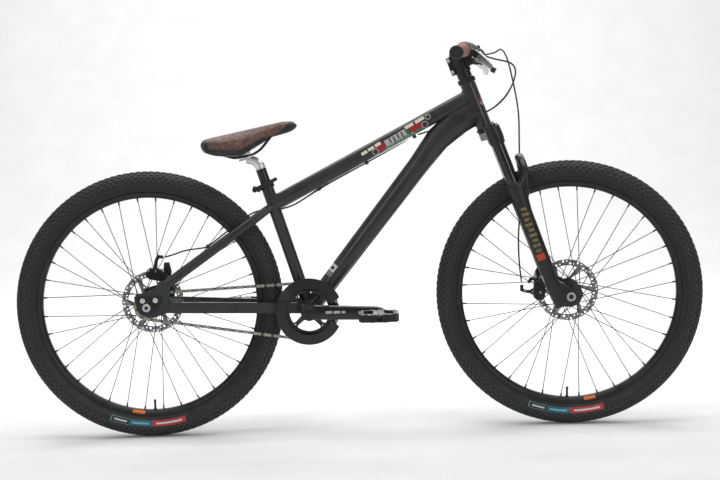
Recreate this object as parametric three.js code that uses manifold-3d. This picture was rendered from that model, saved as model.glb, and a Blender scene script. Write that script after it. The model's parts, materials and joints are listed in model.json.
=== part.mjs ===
// Dirt jump bike: hardtail frame, short-travel fork, single-speed drive and cable disc brakes.
// Millimetres. +X is forward, +Y is the rider's left, +Z is up.
// The origin lies on the ground, midway between the axles.

import * as THREE from 'three';
import { mergeVertices } from 'three/addons/utils/BufferGeometryUtils.js';
import Module from 'manifold-3d';

const wasm = await Module();
wasm.setup();

// General values
const degree = Math.PI / 180;
const clearance = 0.3; // between two pieces that touch
const overrun = 6; // how far a cutting shape runs past what it cuts
const weldDistance = 0.001; // corners closer than this are one corner

// Layout of the whole bike
const wheelRadius = 339;
const tyreToShell = 67; // rear tyre to the bottom bracket's centre
const chainstayLength = wheelRadius + tyreToShell;
const bottomBracketDrop = 24; // below the axles
const bottomBracketHeight = wheelRadius - bottomBracketDrop;
const shellToFrontTyre = 325.31;
const wheelbase = Math.sqrt(chainstayLength ** 2 - bottomBracketDrop ** 2) + shellToFrontTyre + wheelRadius;
const seatTubeAngle = 72.6; // degrees from the ground
const headTubeAngle = 69.9; // degrees from the ground
const forkOffset = 47.7; // axle ahead of the steering axis
const forkAboveTyre = 132.9;
// lower end of the head tube to the axle, along the steering axis
const forkLength = wheelRadius + forkAboveTyre;
const steerTurn = -5; // degrees, the bars as they stand, minus is towards the rider's right

// Frame
const headTubeLength = 118.7;
const headTubeRadius = 19.8;
const seatTubeLength = 340.2; // bottom bracket centre to the top of the tube
const seatTubeRadius = 15.9;
const topTubeBelowTop = 57; // down the seat tube
const topTubeJoinOnSeatTube = seatTubeLength - topTubeBelowTop; // from the bottom bracket centre
const topTubeJoinOnHeadTube = 88; // from the lower end of the head tube
const topTubeRearRadius = 20.5;
const topTubeMidRadius = 18.8;
const topTubeFrontRadius = 19.2;
const downTubeRadius = 22.5;
const downTubeJoinOnHeadTube = 50; // from the lower end of the head tube
const downTubeBendBack = 100.5; // from where it meets the head tube's axis
const downTubeBendDrop = 66.6;
const downTubeBendShares = [[-1.53, -2.084], [-1.023, -1.098], [-0.505, -0.434]]; // of the two sizes above
// of the radius, from the bottom bracket to the head tube
const downTubeTallShares = [1, 1.21, 1.43, 1.6, 1.6];
const shellRadius = 22.5;
const shellWidth = 73;
const shellWall = 4;
const chainstayHeight = 27;
const chainstayRiseAtShell = 6;
const seatstayTall = 23;
const seatstayThick = 16;
const seatstayBelowTop = 59.2; // down the seat tube
const seatstayJoinOnSeatTube = seatTubeLength - seatstayBelowTop; // from the bottom bracket centre
const bridgeRadius = 8;
const bridgeRoom = 19; // tyre to the middle of the seat stays' bridge
const yokeRoom = 26.4; // tyre to the middle of the chain stays' yoke
const guideRadius = 6; // brazed cable guides
const guideLength = 9;
const guideDrop = 2.6; // axis of a guide's hole below the skin of the tube

// Rear dropouts
const dropoutInside = 67.8; // from the middle plane to a dropout's inner face
const dropoutPlate = 5.2;
const sliderPlate = 3.4;
const dropoutSize = 50; // shares below are of this size
const dropoutOutlineShares = [
  [-0.62, 0.5], [-0.52, 0.66], [0.22, 0.84], [0.92, 1.34], [1.16, 1.0], [1.04, -0.3],
  [0.42, -0.5], [0.1, -0.54], [-0.36, -0.3], [-0.56, 0.16],
];
const sliderOutlineShares = [
  [-0.56, 0.32], [-0.44, 0.56], [0.72, 0.56], [0.76, 0.2], [0.34, -0.34], [-0.2, -0.4], [-0.46, -0.14],
];
const dropoutSlotHalf = 6.6;
const sliderBoltRadius = 7.6;
const sliderBoltHeight = 3;
const sliderBoltShares = [[-0.18, 0.36], [0.46, 0.37]];
const rearAxleRadius = 6;
const axleNutRadius = 11;
const axleNutHeight = 3.6;
const calliperTabShares = [[0.1, 0.7], [0.7, 0.6], [1, 1.5], [0.88, 2], [0.62, 2], [0.52, 1.3]];
const calliperTabInside = 63.6;
const calliperTabPlate = 5;

// Headset
const cupRadius = 23;
const cupHeight = 14.5;
const crownRaceHeight = 10.3;
const steererRadius = 14.3;
const spacerHeight = 14.6;
const spacerRadius = 18.5;

// Fork, in its own frame: x ahead of the steering axis, z along it from the axle's level
const stanchionRadius = 15.8;
const stanchionSpacing = 130;
const stanchionAhead = 15;
const crownAboveTyre = 122;
const crownTop = wheelRadius + crownAboveTyre;
const crownThickness = 19;
const crownSocketRadius = 21.5;
const crownSocketBelow = 38;
const crownSocketAbove = 8;
const adjusterRadius = 12;
const adjusterHeight = 7;
const lowersBelowTyre = 26;
const lowersTop = wheelRadius - lowersBelowTyre;
const lowersTopRadius = 20.5;
const lowersFoot = -14;
const stanchionInLowers = 123;
const stanchionFoot = lowersTop - stanchionInLowers;
const sealRadius = 19;
const sealHeight = 5;
const archAboveTyre = 33;
const archTop = wheelRadius + archAboveTyre;
const archAhead = 50;
const archTall = 17;
const archDeep = 13;
const forkHubGap = 110;
const forkTravel = 100;
const legShares = [[1, 1, 1], [0.3, 0.91, 0.94], [0.235, 0.8, 0.92], [0.1, 0.72, 0.86], [-0.05, 0.6, 0.7]];
const archShares = [
  [-1.06, 0.1, -0.34], [-1.0, 0.8, 0.16], [-0.8, 0.95, 0.62], [-0.36, 1, 1], [0.36, 1, 1], [0.8, 0.95, 0.62],
  [1.0, 0.8, 0.16], [1.06, 0.1, -0.34],
];
const frontLugWidth = 22;
const frontTabSize = 100;
const frontTabShares = [[0.06, 0.9], [-0.2, 0.66], [-0.25, 0.5], [-0.09, 0.43], [0.08, 0.58]];
const frontTabInside = 57;
const frontTabPlate = 5;
const frontLugRadius = 19;
const frontAxleRadius = 10;
const frontAxleOverhang = 3;

// Stem and handlebar
const stemHeight = 50;
const stemReach = 46;
const stemBodyRadius = 21;
const stemBodyHalfWidth = 17;
const stemNeckHalf = 15;
const barClampRadius = 15.9;
const barClampWall = 5.5;
const barClampWidth = 50;
const faceplateGap = 1.2;
const stemBoltRadius = 4.6;
const stemBoltReach = 7;
const stemBoltSpacing = 31;
const topCapHeight = 5;
const barWidth = 680;
const barRise = 30;
const barRoll = 10; // degrees back from the steering axis
const barSweep = 9; // degrees
const barEndRadius = 11.1;
const barStraightHalf = 30;
const barBendHalf = 55;
const barRiseHalf = 122;
const gripLength = 130;
const gripRadius = 15.6;
const gripFlangeRadius = 17.5;
const gripFlangeWidth = 4;
const plugLength = 6;

// Brake levers, measured from the bar's axis and from the lever's pivot out along the bar
const perchGap = 26; // grip to the middle of the perch
const perchPlace = barWidth / 2 - gripLength - perchGap; // from the middle of the bar
const perchWidth = 18;
const perchRadius = 17;
const leverDrop = 48; // degrees below the fork's forward direction
const pivotReach = 32;
const perchBodyHalf = 7.5;
const barrelRadius = 6.5;
const barrelLength = 17;
const leverLength = 128;
const leverTipReach = 92;
const leverWidth = 20;
const leverWall = 2;
const leverBallRadius = 6;
const leverPinRadius = 3;
const leverDepth = 16;
const leverShares = [
  [-0.08, 0, 1, 1], [0.03, 0.04, 1, 1], [0.22, 0.3, 0.85, 0.9], [0.55, 0.68, 0.7, 0.75],
  [0.85, 0.97, 0.6, 0.62], [1, 1, 0.5, 0.5],
];

// Wheels
const tyreHalfWidth = 28.6;
const tyreWall = 3.6;
const tyreOutlineShares = [[0, 0.31], [0.12, 0.41], [0.42, 0.95], [0.74, 1], [1, 0.55]];
const tyreInnerShares = [[0.5, 0.97], [0.95, 0.5]];
const tyreHeight = 53; // above the rim's flange
const rimFlangeHeight = 5.8; // above the rim's bed
const rimDepth = 14.5;
const rimFlangeRadius = wheelRadius - tyreHeight;
const rimBedRadius = rimFlangeRadius - rimFlangeHeight;
const rimInnerRadius = rimFlangeRadius - rimDepth;
const rimHalfWidth = 15;
const rimFlange = 2;
const rimFlangeFoot = 5; // the flange's thickness at the bed
const rimBaseShare = 0.5;
const spokeCount = 36;
const spokeRadius = 1.3;
const spokeTurn = 5; // degrees from straight ahead to the first spoke
const spokeCrossings = 3;
const spokeStagger = 2.3; // a spoke's middle from the middle of its flange
const spokeRimOffset = 3;
const hubSides = 12;
const frontFlangeRadius = 33;
const frontFlangePlace = 30;
const rearFlangeRadius = 30;
const rearFlangePlace = 31;
const hubFlange = 3;
const hubFlangeLip = 4;
const frontBarrelRadius = 18.5;
const rearBarrelRadius = 17;
const hubEndRadius = 14;
const rotorMountRadius = 26;
const frontRotorPlace = 44;
const rearRotorPlace = 51.4;
const rotorRadius = 80;
const rotorThickness = 2;
const rotorBandWidth = 15;
const rotorHoleRadius = 3.8;
const rotorHoleCount = 24;
const rotorArmCount = 6;
const rotorHubRadius = 28;
const rotorArmShare = 0.3;
const rotorArmLean = 22; // degrees that an arm leans round the disc
const valveRadius = 3;
const valveLength = 26;
const rearValveAngle = 0.5; // degrees from straight down towards the front
const frontValveAngle = -1.6;

// Drive
const chainPitch = 12.7;
const chainringTeeth = 36;
const cogTeeth = 16;
const chainBesideShell = 11.5;
const chainLine = shellWidth / 2 + chainBesideShell; // from the middle plane
const toothThickness = 2.2;
const toothAbovePitch = 2.5;
const toothBelowPitch = 4.2;
const toothRootShare = 0.36;
const chainOuterTall = 8.4;
const chainInnerTall = 7.6;
const chainOuterWidth = 8;
const chainInnerWidth = 6;
const chainSlot = 3;
const freewheelRadius = 26;
const freewheelHalf = 6;
const crankLength = 172;
const crankDrop = 1.8; // degrees that the forward arm points down
const spindleRadius = 11;
const cupFlange = 9;
const armBesideShell = 28.5;
const armRootOffset = shellWidth / 2 + armBesideShell; // middle of an arm's thickness from the middle plane
const armSplay = 12;
const armEndOffset = armRootOffset + armSplay;
const armRootHalf = 19;
const armThickness = 17;
const armShares = [
  [-0.1, 0, 0.9, 0.8], [0.05, 0, 1, 1], [0.3, 0.35, 1, 0.97], [0.7, 0.8, 1, 0.93], [0.98, 1, 0.95, 0.9],
  [1.08, 1, 0.8, 0.68],
];
const bossRadius = 22;
const spiderBoltCircle = 104;
const spiderArmWidth = 15;
const spiderThickness = 3.2;
const spiderTabRadius = 9;
const spiderCount = 4;
const chainringInnerRadius = 58;
const guardRadius = 84.2;
const guardInnerRadius = 59;
const guardThickness = 4;
const guardNotchShare = 0.84;
const guardNotch = 20; // degrees each side of the crank arm
const chainringBoltRadius = 5;
const chainringBoltHeight = 1.6;
const pedalAxleRadius = 6;
const pedalAxleLength = 92;
const pedalGap = 6;
const pedalLength = 98;
const pedalWidth = 94;
const pedalThickness = 20;
const pedalRail = 12;
const pedalBarrelRadius = 11;
const pedalWeb = 3;
const pedalCornerShare = 1.5;
const pedalSides = 12;
const pedalOutlineShares = [
  [-1, -0.6], [-0.86, -0.86], [-0.3, -1], [0.3, -1], [0.86, -0.86], [1, -0.6], [1, 0.6], [0.86, 0.86],
  [0.3, 1], [-0.3, 1],
  [-0.86, 0.86], [-1, 0.6],
];

// Seat
const postRadius = 13.6;
const postLength = 282;
const postExposed = 52; // collar to the foot of the head
const headSetback = 27;
const headRise = 29;
const headRadius = 12.5;
const collarRadius = 20;
const collarHeight = 14;
const collarEar = 20;
const collarEarHalf = 9;
const collarSlit = 3;
const seatLeverLength = 68;
const seatLeverWidth = 11;
const seatLeverThickness = 7;
const seatLeverPivotRadius = 6.4;
const saddleLength = 251;
const saddleTilt = 11.5; // degrees, nose up
const saddleWidth = 138;
const saddleDepth = 61;
const saddleAboveClamp = 63; // rail clamp to the middle of the saddle's top
const saddleBehindClamp = 103; // rail clamp to the saddle's tail
const railRadius = 3.5;
const railSides = 6;
const railSpacing = 43;
const railShares = [
  [-0.23, 0.72, 0.28], [-0.1, 0.5, 0], [0.088, 0.5, 0], [0.17, 0.46, 0.13], [0.28, 0.36, 0.48],
  [0.33, 0.2, 0.635],
];
const cradleLength = 40;
const cradleHeight = 6;
const cradleWidth = 56;
const cradleBoltRadius = 7;
const cradleBoltHead = 3;

// Brakes
const calliperWidth = 15; // the body's inner face from the disc's middle plane
const padInset = 8;
const calliperOutlineShares = [
  [-0.5, -0.3], [-0.3, -0.5], [0.34, -0.5], [0.5, -0.2], [0.5, 0.2], [0.3, 0.5], [-0.36, 0.5], [-0.5, 0.26],
];
const rearPadAngle = 80; // degrees round the disc from straight ahead
const frontPadAngle = 158;
const stopReach = 44;
const stopBarrel = 16;
const stopRadius = 4.6;
const calliperArmShares = [
  [0, 0, 1.3], [0.6, -0.02, 1.05], [0.84, 0.3, 1], [0.72, 0.66, 0.9], [0.42, 0.86, 0.8],
];
const calliperLength = 52;
const calliperTall = 30;
const calliperSlot = 4;
const calliperBossRadius = 12.5;
const calliperBossHeight = 8;
const calliperArmLength = 32;
const calliperArmThickness = 5;
const calliperArmWidth = 10;
const cableRadius = 2.5;
const cableSides = 6;

// Cables away from what holds them: shares of one size, from the tube, stay or head tube that they pass
const cableBow = 100;
const cableAtSeatTubeShares = [ // along the tube from the top tube, behind it and across
  [-0.193, -0.507, 0.08], [-0.189, -0.194, 0.23], [-0.175, 0.053, 0.3], [-0.072, 0.314, 0.39],
  [-0.051, 0.58, 0.44],
];
const cableOnStayShares = [[0.73, 0.72], [0.58, 0.68]];
const cableAtDropoutShares = [[0.47, -0.054], [0.776, -0.009]];
const rearBowShares = [
  [0.56, -1.32, 0.528], [0.91, -1.14, 0.468], [1.08, -0.95, 0.338], [1.12, -0.7, 0.138],
  [1.03, -0.35, -0.182], [0.86, 0, -0.462], [0.53, 0.28, -0.712], [-0.19, 0.34, -0.952],
  [-0.72, 0.31, -1.09], [-0.96, 0.22, -1.16], [-1.16, 0.07, -1.22],
];
const frontBowShares = [
  [0.87, 1.32, 0.828], [0.99, 1.22, 0.918], [1.09, 1.1, 0.808], [1.17, 0.95, 0.528], [1.26, 0.78, 0.008],
  [1.37, 0.6, -0.822],
];
const frontRunShares = [
  [0.144, -0.006, -0.074], [0.338, -0.087, -0.129], [0.549, -0.127, -0.129], [0.796, -0.088, -0.047],
];
const clipRoom = 7; // from the arch to the middle of its cable clip
const clipAside = 44;
const clipBelowArch = 24;

// Edges, roots and other details
const smallChamfer = 1;
const squareness = 0.55; // of flattened bars, 1 is round
const seatstayFootShares = [0.7, 0.88];
const cupChamfer = 2;
const cupChamferShare = 0.3;
const bracketCupDepth = 18;
const collarEarGap = 1;
const collarEarShare = 0.8;
const seatLeverPivotShare = 0.75;
const seatLeverRoom = 1.5;
const seatLeverTipShares = [0.92, 0.14];
const seatLeverBow = 1;
const seatLeverEndShare = 0.86;
const headOverlap = 4;
const headInset = 0.1;
const headBendShares = [0.4, 0.35];
const headTopShare = 0.8;
const cradlePlateShares = [0.8, 0.9];
const railBendShare = 0.12;
const crownSocketTaper = 2;
const steererBelowCap = 2;
const bottomOutRoom = 2;
const lugHeelShare = 0.7;
const lugFootDrop = 3;
const lugArc = [-110, 50]; // degrees round the axle
const lugTopShares = [0.8, 2.6];
const sealTaper = 1.4;
const frontAxleHead = 1.5;
const barRiseStartShare = 0.8;
const barSweepEndShare = 1.3;
const barRiseShares = [0.27, 0.2];
const stemNeckShares = [[0, 1, 1.35], [0.55, 1, 1], [1, 1.1, 1.2]];
const stemEarShare = 0.2;
const stemEarTallShare = 0.94;
const stemSlit = 1.8;
const stemBoltShare = 0.6;
const stemBoltEnd = 2;
const faceBoltShare = 0.36;
const faceBoltLengthShare = 0.9;
const topCapRadius = 19;
const topCapChamfer = 2;
const gripChamfer = 2;
const leverBallInset = 2;
const perchWaistShare = 0.6;
const barrelDrop = 2;
const barrelReach = pivotReach - barrelDrop;
const barrelEndShare = 0.75;
const calliperChamfer = 3;
const calliperEndShare = 0.86;
const calliperSlotRoom = 2;
const stopShares = [0.16, 0.3, 0.75, 0.1];
const stopHook = 3;
const stopThickness = 8;
const calliperBoltHead = 2;
const calliperArmBossShare = 0.75;
const hubFillet = 2;
const rotorMountThickness = 3;
const valveTipShare = 0.8;
const chainLinkShares = [0.1, 0.9];
const spiderTipShare = 0.7;
const ribRootDepth = 4.5;
const ribTipDepth = 1.45;
const ribShares = [0.4, 0.6, 0.3];
const chainringShankRadius = 4.5;
const guardNotchSlope = 6; // degrees
const guardLobeEdge = 2;

// Counts of sides and steps
const boxSides = 4;
const archSides = 6;
const smallSides = 8;
const boltSides = 10;
const axleSides = 16;
const ringSides = 24;
const slotSteps = 7;
const lugSteps = 7;
const notchSteps = 5;
const windowSteps = 3;
const rotorHoleSides = 4;
const cableSteps = 2;

// Derived places
const alongY = new THREE.Vector3(0, 1, 0);
const archClip = new THREE.Vector3(archAhead + clipRoom, clipAside, archTop - clipBelowArch);
const rearAxle = new THREE.Vector3(-wheelbase / 2, 0, wheelRadius);
const frontAxle = new THREE.Vector3(wheelbase / 2, 0, wheelRadius);
const shellDrop = wheelRadius - bottomBracketHeight;
const shellCentre = new THREE.Vector3(
  rearAxle.x + Math.sqrt(chainstayLength ** 2 - shellDrop ** 2), 0, bottomBracketHeight,
);
const steerUp = new THREE.Vector3(-Math.cos(headTubeAngle * degree), 0, Math.sin(headTubeAngle * degree));
const steerForward = new THREE.Vector3(Math.sin(headTubeAngle * degree), 0, Math.cos(headTubeAngle * degree));
const steerFoot = frontAxle.clone().addScaledVector(steerForward, -forkOffset);
const headTubeFoot = steerFoot.clone().addScaledVector(steerUp, forkLength);
const headTubeTop = headTubeFoot.clone().addScaledVector(steerUp, headTubeLength);
const seatUp = new THREE.Vector3(-Math.cos(seatTubeAngle * degree), 0, Math.sin(seatTubeAngle * degree));
const seatBack = new THREE.Vector3(-Math.sin(seatTubeAngle * degree), 0, -Math.cos(seatTubeAngle * degree));
const seatTubeTop = shellCentre.clone().addScaledVector(seatUp, seatTubeLength);

// Finishes
const finish = (color, roughness, metalness) => new THREE.MeshStandardMaterial({
  color, roughness, metalness,
});
const frameBlack = finish(0x2c2e30, 0.5, 0.3);
const forkGrey = finish(0x3c3e42, 0.35, 0.5);
const satinBlack = finish(0x1b1c1e, 0.45, 0.3);
const glossBlack = finish(0x141416, 0.2, 0.2);
const tyreRubber = finish(0x1f2021, 0.85, 0);
const softRubber = finish(0x161617, 0.8, 0);
const polished = finish(0xc4c6c9, 0.25, 0.9);
const brushed = finish(0xa3a5a8, 0.4, 0.85);
const chainMetal = finish(0xa99f87, 0.35, 0.8);
const gripCopper = finish(0x9c7058, 0.7, 0);
const seatBrown = finish(0x7a4a32, 0.75, 0);

// Shape helpers

// A closed geometry as a solid that can be joined and cut, with its faces pointing out
function solid(geometry) {
  geometry.deleteAttribute('normal');
  geometry.deleteAttribute('uv');
  const merged = mergeVertices(geometry, weldDistance);
  const places = merged.attributes.position.array;
  const index = merged.index.array;
  const corner = (i) => new THREE.Vector3().fromArray(places, i * 3);
  const faces = [];
  let volume = 0;
  for (let i = 0; i < index.length; i += 3) {
    const [a, b, c] = [index[i], index[i + 1], index[i + 2]];
    if (a === b || b === c || c === a) continue;
    faces.push([a, b, c]);
    volume += corner(a).cross(corner(b)).dot(corner(c));
  }
  const outward = volume < 0 ? faces.map(([a, b, c]) => [a, c, b]) : faces;
  const mesh = new wasm.Mesh({
    numProp: 3,
    vertProperties: new Float32Array(places),
    triVerts: new Uint32Array(outward.flat()),
  });
  return new wasm.Manifold(mesh);
}

const join = (...shapes) => shapes.reduce((whole, shape) => whole.add(shape));
const cut = (shape, ...tools) => tools.reduce((rest, tool) => rest.subtract(tool), shape);

// A piece of the bike: a named mesh made from a solid
function piece(name, shape, material, parent) {
  const { vertProperties, triVerts } = shape.getMesh();
  const geometry = new THREE.BufferGeometry();
  geometry.setAttribute('position', new THREE.BufferAttribute(vertProperties, 3));
  geometry.setIndex(new THREE.BufferAttribute(triVerts, 1));
  geometry.computeVertexNormals();
  const mesh = new THREE.Mesh(geometry, material);
  mesh.name = name;
  parent.add(mesh);
  return mesh;
}

const vec = (x, y, z) => new THREE.Vector3(x, y, z);

// Turns a geometry that stands along +Y at the origin so that it starts at a place and follows a direction
function aimed(geometry, from, direction) {
  const turn = new THREE.Quaternion().setFromUnitVectors(alongY, direction.clone().normalize());
  return geometry.applyQuaternion(turn).translate(from.x, from.y, from.z);
}

// A solid of revolution: [radius, distance along the axis] points, from a place along a direction
function turned(profile, sides, from = vec(0, 0, 0), direction = alongY) {
  const outline = profile.map(([radius, along]) => new THREE.Vector2(radius, along));
  return solid(aimed(new THREE.LatheGeometry(outline, sides), from, direction));
}

const ring = (profile, sides, from, direction) => turned([...profile, profile[0]], sides, from, direction);

// A round bar between two places
function rod(from, to, radius, sides, endRadius = radius) {
  const length = from.distanceTo(to);
  const geometry = new THREE.CylinderGeometry(endRadius, radius, length, sides);
  return solid(aimed(geometry.translate(0, length / 2, 0), from, to.clone().sub(from)));
}

// A three-sided wire between two places
function wire(from, to, radius) {
  const way = to.clone().sub(from).normalize();
  const across = alongY.clone().cross(way).normalize();
  const up = way.clone().cross(across);
  return loft([from, to].map((place) => arc(0, 0, radius, 3)
    .map(([a, b]) => place.clone().addScaledVector(across, a).addScaledVector(up, b))));
}

// A box by its middle and its sizes, turned about the bike's width by some degrees
function block(middle, sizeX, sizeY, sizeZ, turn = 0) {
  const geometry = new THREE.BoxGeometry(sizeX, sizeY, sizeZ).rotateY(turn * degree);
  return solid(geometry.translate(middle.x, middle.y, middle.z));
}

// A flat plate in the bike's middle plane: outline and holes in X and Z, between two places along Y
function plate(outline, holes, low, high) {
  const shape = new THREE.Shape(outline.map(([x, z]) => new THREE.Vector2(x, z)));
  for (const hole of holes) shape.holes.push(new THREE.Path(hole.map(([x, z]) => new THREE.Vector2(x, z))));
  const geometry = new THREE.ExtrudeGeometry(shape, { depth: high - low, bevelEnabled: false, steps: 1 });
  return solid(geometry.rotateX(Math.PI / 2).translate(0, high, 0));
}

// Points of a round outline about a middle, between two angles in degrees
function arc(middleX, middleZ, radius, count, start = 0, end = 360) {
  const whole = end - start === 360;
  const steps = whole ? count : count - 1;
  return Array.from({ length: count }, (_, i) => {
    const angle = (start + ((end - start) * i) / steps) * degree;
    return [middleX + radius * Math.cos(angle), middleZ + radius * Math.sin(angle)];
  });
}

// Moves an outline given in shares of one size to its place
const scaled = (shares, size, place) => shares.map(([x, z]) => [place.x + x * size, place.z + z * size]);

// Skins a row of rings, each with as many points, and closes both ends
function loft(rings, loop = false) {
  const count = rings[0].length;
  const places = rings.flat();
  const faces = [];
  const last = loop ? rings.length : rings.length - 1;
  for (let i = 0; i < last; i += 1) {
    for (let k = 0; k < count; k += 1) {
      const a = i * count + k;
      const b = i * count + ((k + 1) % count);
      const c = ((i + 1) % rings.length) * count + ((k + 1) % count);
      const d = ((i + 1) % rings.length) * count + k;
      faces.push(a, b, c, a, c, d);
    }
  }
  if (!loop) {
    const end = (rings.length - 1) * count;
    for (let k = 1; k < count - 1; k += 1) {
      faces.push(0, k + 1, k);
      faces.push(end, end + k, end + k + 1);
    }
  }
  const geometry = new THREE.BufferGeometry();
  geometry.setAttribute('position', new THREE.Float32BufferAttribute(places.flatMap((p) => p.toArray()), 3));
  geometry.setIndex(faces);
  return solid(geometry);
}

// Direction of travel at each place of a path
function directions(path) {
  return path.map((place, i) => {
    const before = path[Math.max(i - 1, 0)];
    const after = path[Math.min(i + 1, path.length - 1)];
    const into = i > 0 ? place.clone().sub(before).normalize() : vec(0, 0, 0);
    const out = i < path.length - 1 ? after.clone().sub(place).normalize() : vec(0, 0, 0);
    return into.add(out).normalize();
  });
}

// A tube with its own half width (along side) and half height at each place: [place, halfWidth, halfHeight].
// Below 1, boxy squares off the round section.
const squared = (value, boxy) => Math.sign(value) * Math.abs(value) ** boxy;
function taperedTube(stations, sides, side = alongY, boxy = 1) {
  const ways = directions(stations.map(([place]) => place));
  const rings = stations.map(([place, halfWidth, halfHeight], i) => {
    const across = side.clone().addScaledVector(ways[i], -side.dot(ways[i])).normalize();
    const up = across.clone().cross(ways[i]).normalize();
    return Array.from({ length: sides }, (_, k) => {
      const angle = ((k + 0.5) / sides) * 2 * Math.PI;
      return place.clone()
        .addScaledVector(across, halfWidth * squared(Math.cos(angle), boxy))
        .addScaledVector(up, halfHeight * squared(Math.sin(angle), boxy));
    });
  });
  return loft(rings);
}

// A brake cable along a smooth curve through the given places
function cable(places, stepsBetween) {
  const path = new THREE.CatmullRomCurve3(places).getPoints(stepsBetween * (places.length - 1));
  const ways = directions(path);
  const aside = Math.abs(ways[0].z) > Math.abs(ways[0].x) ? vec(1, 0, 0) : vec(0, 0, 1);
  let across = aside.cross(ways[0]);
  return loft(path.map((place, i) => {
    across = across.clone().addScaledVector(ways[i], -across.dot(ways[i])).normalize();
    const up = across.clone().cross(ways[i]);
    return arc(
      0, 0, cableRadius, cableSides,
    ).map(([a, b]) => place.clone().addScaledVector(across, a).addScaledVector(up, b));
  }));
}

// Radius of a faceted bore that clears a round bar with the same number of sides or fewer
const bore = (radius, sides) => (radius + clearance) / Math.cos(Math.PI / sides);

const bike = new THREE.Group();

// Frame
const roundSides = 12;
const staySides = 10;

function onSeatTube(along, back = 0, across = 0) {
  const place = shellCentre.clone().addScaledVector(seatUp, along).addScaledVector(seatBack, back);
  place.y = across;
  return place;
}
const onHeadTube = (along) => headTubeFoot.clone().addScaledVector(steerUp, along);

// Stays swing out to the dropouts, run close past the tyre and close in on the front triangle
const stayPlateMiddle = dropoutInside + dropoutPlate / 2;
const chainstayShares = [
  [0.075, 0.93, 0.2], [0.2, 0.875, 0.2], [0.34, 0.795, 0.22], [0.58, 0.625, 0.2], [0.785, 0.545, 0.145],
  [0.93, 0.43, 0.2], [1, 0.36, 0.2],
];

// How far out a stay runs at a share of its length, from rows of [along, out, size]
function outAlong(rows, along) {
  const after = rows.findIndex(([share]) => share >= along);
  const [a, outA] = rows[Math.max(after - 1, 0)];
  const [b, outB] = rows[Math.max(after, 1)];
  return THREE.MathUtils.mapLinear(along, a, b, outA, outB);
}
function chainstayPlace(along, side) {
  const end = shellCentre.clone();
  end.z += chainstayRiseAtShell;
  return rearAxle.clone().lerp(end, along).setY(side * stayPlateMiddle * outAlong(chainstayShares, along));
}
function chainstay(side) {
  return taperedTube(chainstayShares.map(([along, , half]) => [
    chainstayPlace(along, side), chainstayHeight * half * Math.SQRT2, chainstayHeight / Math.SQRT2,
  ]), boxSides);
}

const seatstayFoot = rearAxle.clone().add(vec(
  seatstayFootShares[0] * dropoutSize, 0, seatstayFootShares[1] * dropoutSize,
));
const seatstayTop = onSeatTube(seatstayJoinOnSeatTube);
const seatstayShares = [
  [0, 0.915, 1], [0.14, 0.85, 1], [0.45, 0.71, 1], [0.72, 0.62, 1], [0.85, 0.44, 0.95], [1, 0.13, 0.85],
];
const seatstayPlace = (along, side) => seatstayFoot.clone().lerp(seatstayTop, along)
  .setY(side * stayPlateMiddle * outAlong(seatstayShares, along));
// Share of the way from a foot to a top at which a place lies a radius from the rear axle
function shareAtRadius(foot, top, radius) {
  const way = top.clone().sub(foot);
  const length = way.length();
  const start = foot.clone().sub(rearAxle);
  const towards = start.dot(way) / length;
  return (Math.sqrt(towards ** 2 + radius ** 2 - start.lengthSq()) - towards) / length;
}
const bridgeShare = shareAtRadius(seatstayFoot, seatstayTop, wheelRadius + bridgeRoom);
const yokeShare = shareAtRadius(rearAxle, shellCentre, wheelRadius + yokeRoom);
function seatstay(side) {
  return taperedTube(seatstayShares.map(([along, , size]) => [
    seatstayPlace(along, side), (seatstayThick / 2) * size, (seatstayTall / 2) * size,
  ]), staySides);
}

function dropout(side) {
  const faces = [side * dropoutInside, side * (dropoutInside + dropoutPlate)].sort((a, b) => a - b);
  const slot = [
    [rearAxle.x - dropoutSize, rearAxle.z - dropoutSlotHalf],
    ...arc(rearAxle.x + dropoutSlotHalf, rearAxle.z, dropoutSlotHalf, slotSteps, -90, 90),
    [rearAxle.x - dropoutSize, rearAxle.z + dropoutSlotHalf],
  ];
  const body = plate(scaled(dropoutOutlineShares, dropoutSize, rearAxle), [], ...faces);
  return cut(body, plate(slot, [], faces[0] - overrun, faces[1] + overrun));
}

// Where a cable guide sits, as a place on a tube and the way the cable runs there
const topTubeRear = onSeatTube(topTubeJoinOnSeatTube);
const topTubeFront = onHeadTube(topTubeJoinOnHeadTube);
const topTubeWay = topTubeFront.clone().sub(topTubeRear).normalize();
const topTubeUnder = vec(topTubeWay.z, 0, -topTubeWay.x);
const guideShares = [0.21, 0.45, 0.69];
const guidePlace = (share) => topTubeRear.clone().lerp(topTubeFront, share)
  .addScaledVector(topTubeUnder, topTubeMidRadius + guideDrop);
const stayGuideShare = 0.42;
const stayWay = seatstayTop.clone().sub(seatstayFoot).normalize();
const stayOver = vec(-stayWay.z, 0, stayWay.x);
const stayGuide = seatstayPlace(stayGuideShare, 1).addScaledVector(stayOver, seatstayTall / 2 + guideDrop);

function guide(place, way) {
  const from = place.clone().addScaledVector(way, -guideLength / 2);
  return rod(from, place.clone().addScaledVector(way, guideLength / 2), guideRadius, cableSides);
}
function guideHole(place, way) {
  const from = place.clone().addScaledVector(way, -guideLength);
  return rod(
    from, place.clone().addScaledVector(way, guideLength), bore(cableRadius, cableSides) + clearance,
    cableSides,
  );
}

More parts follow.
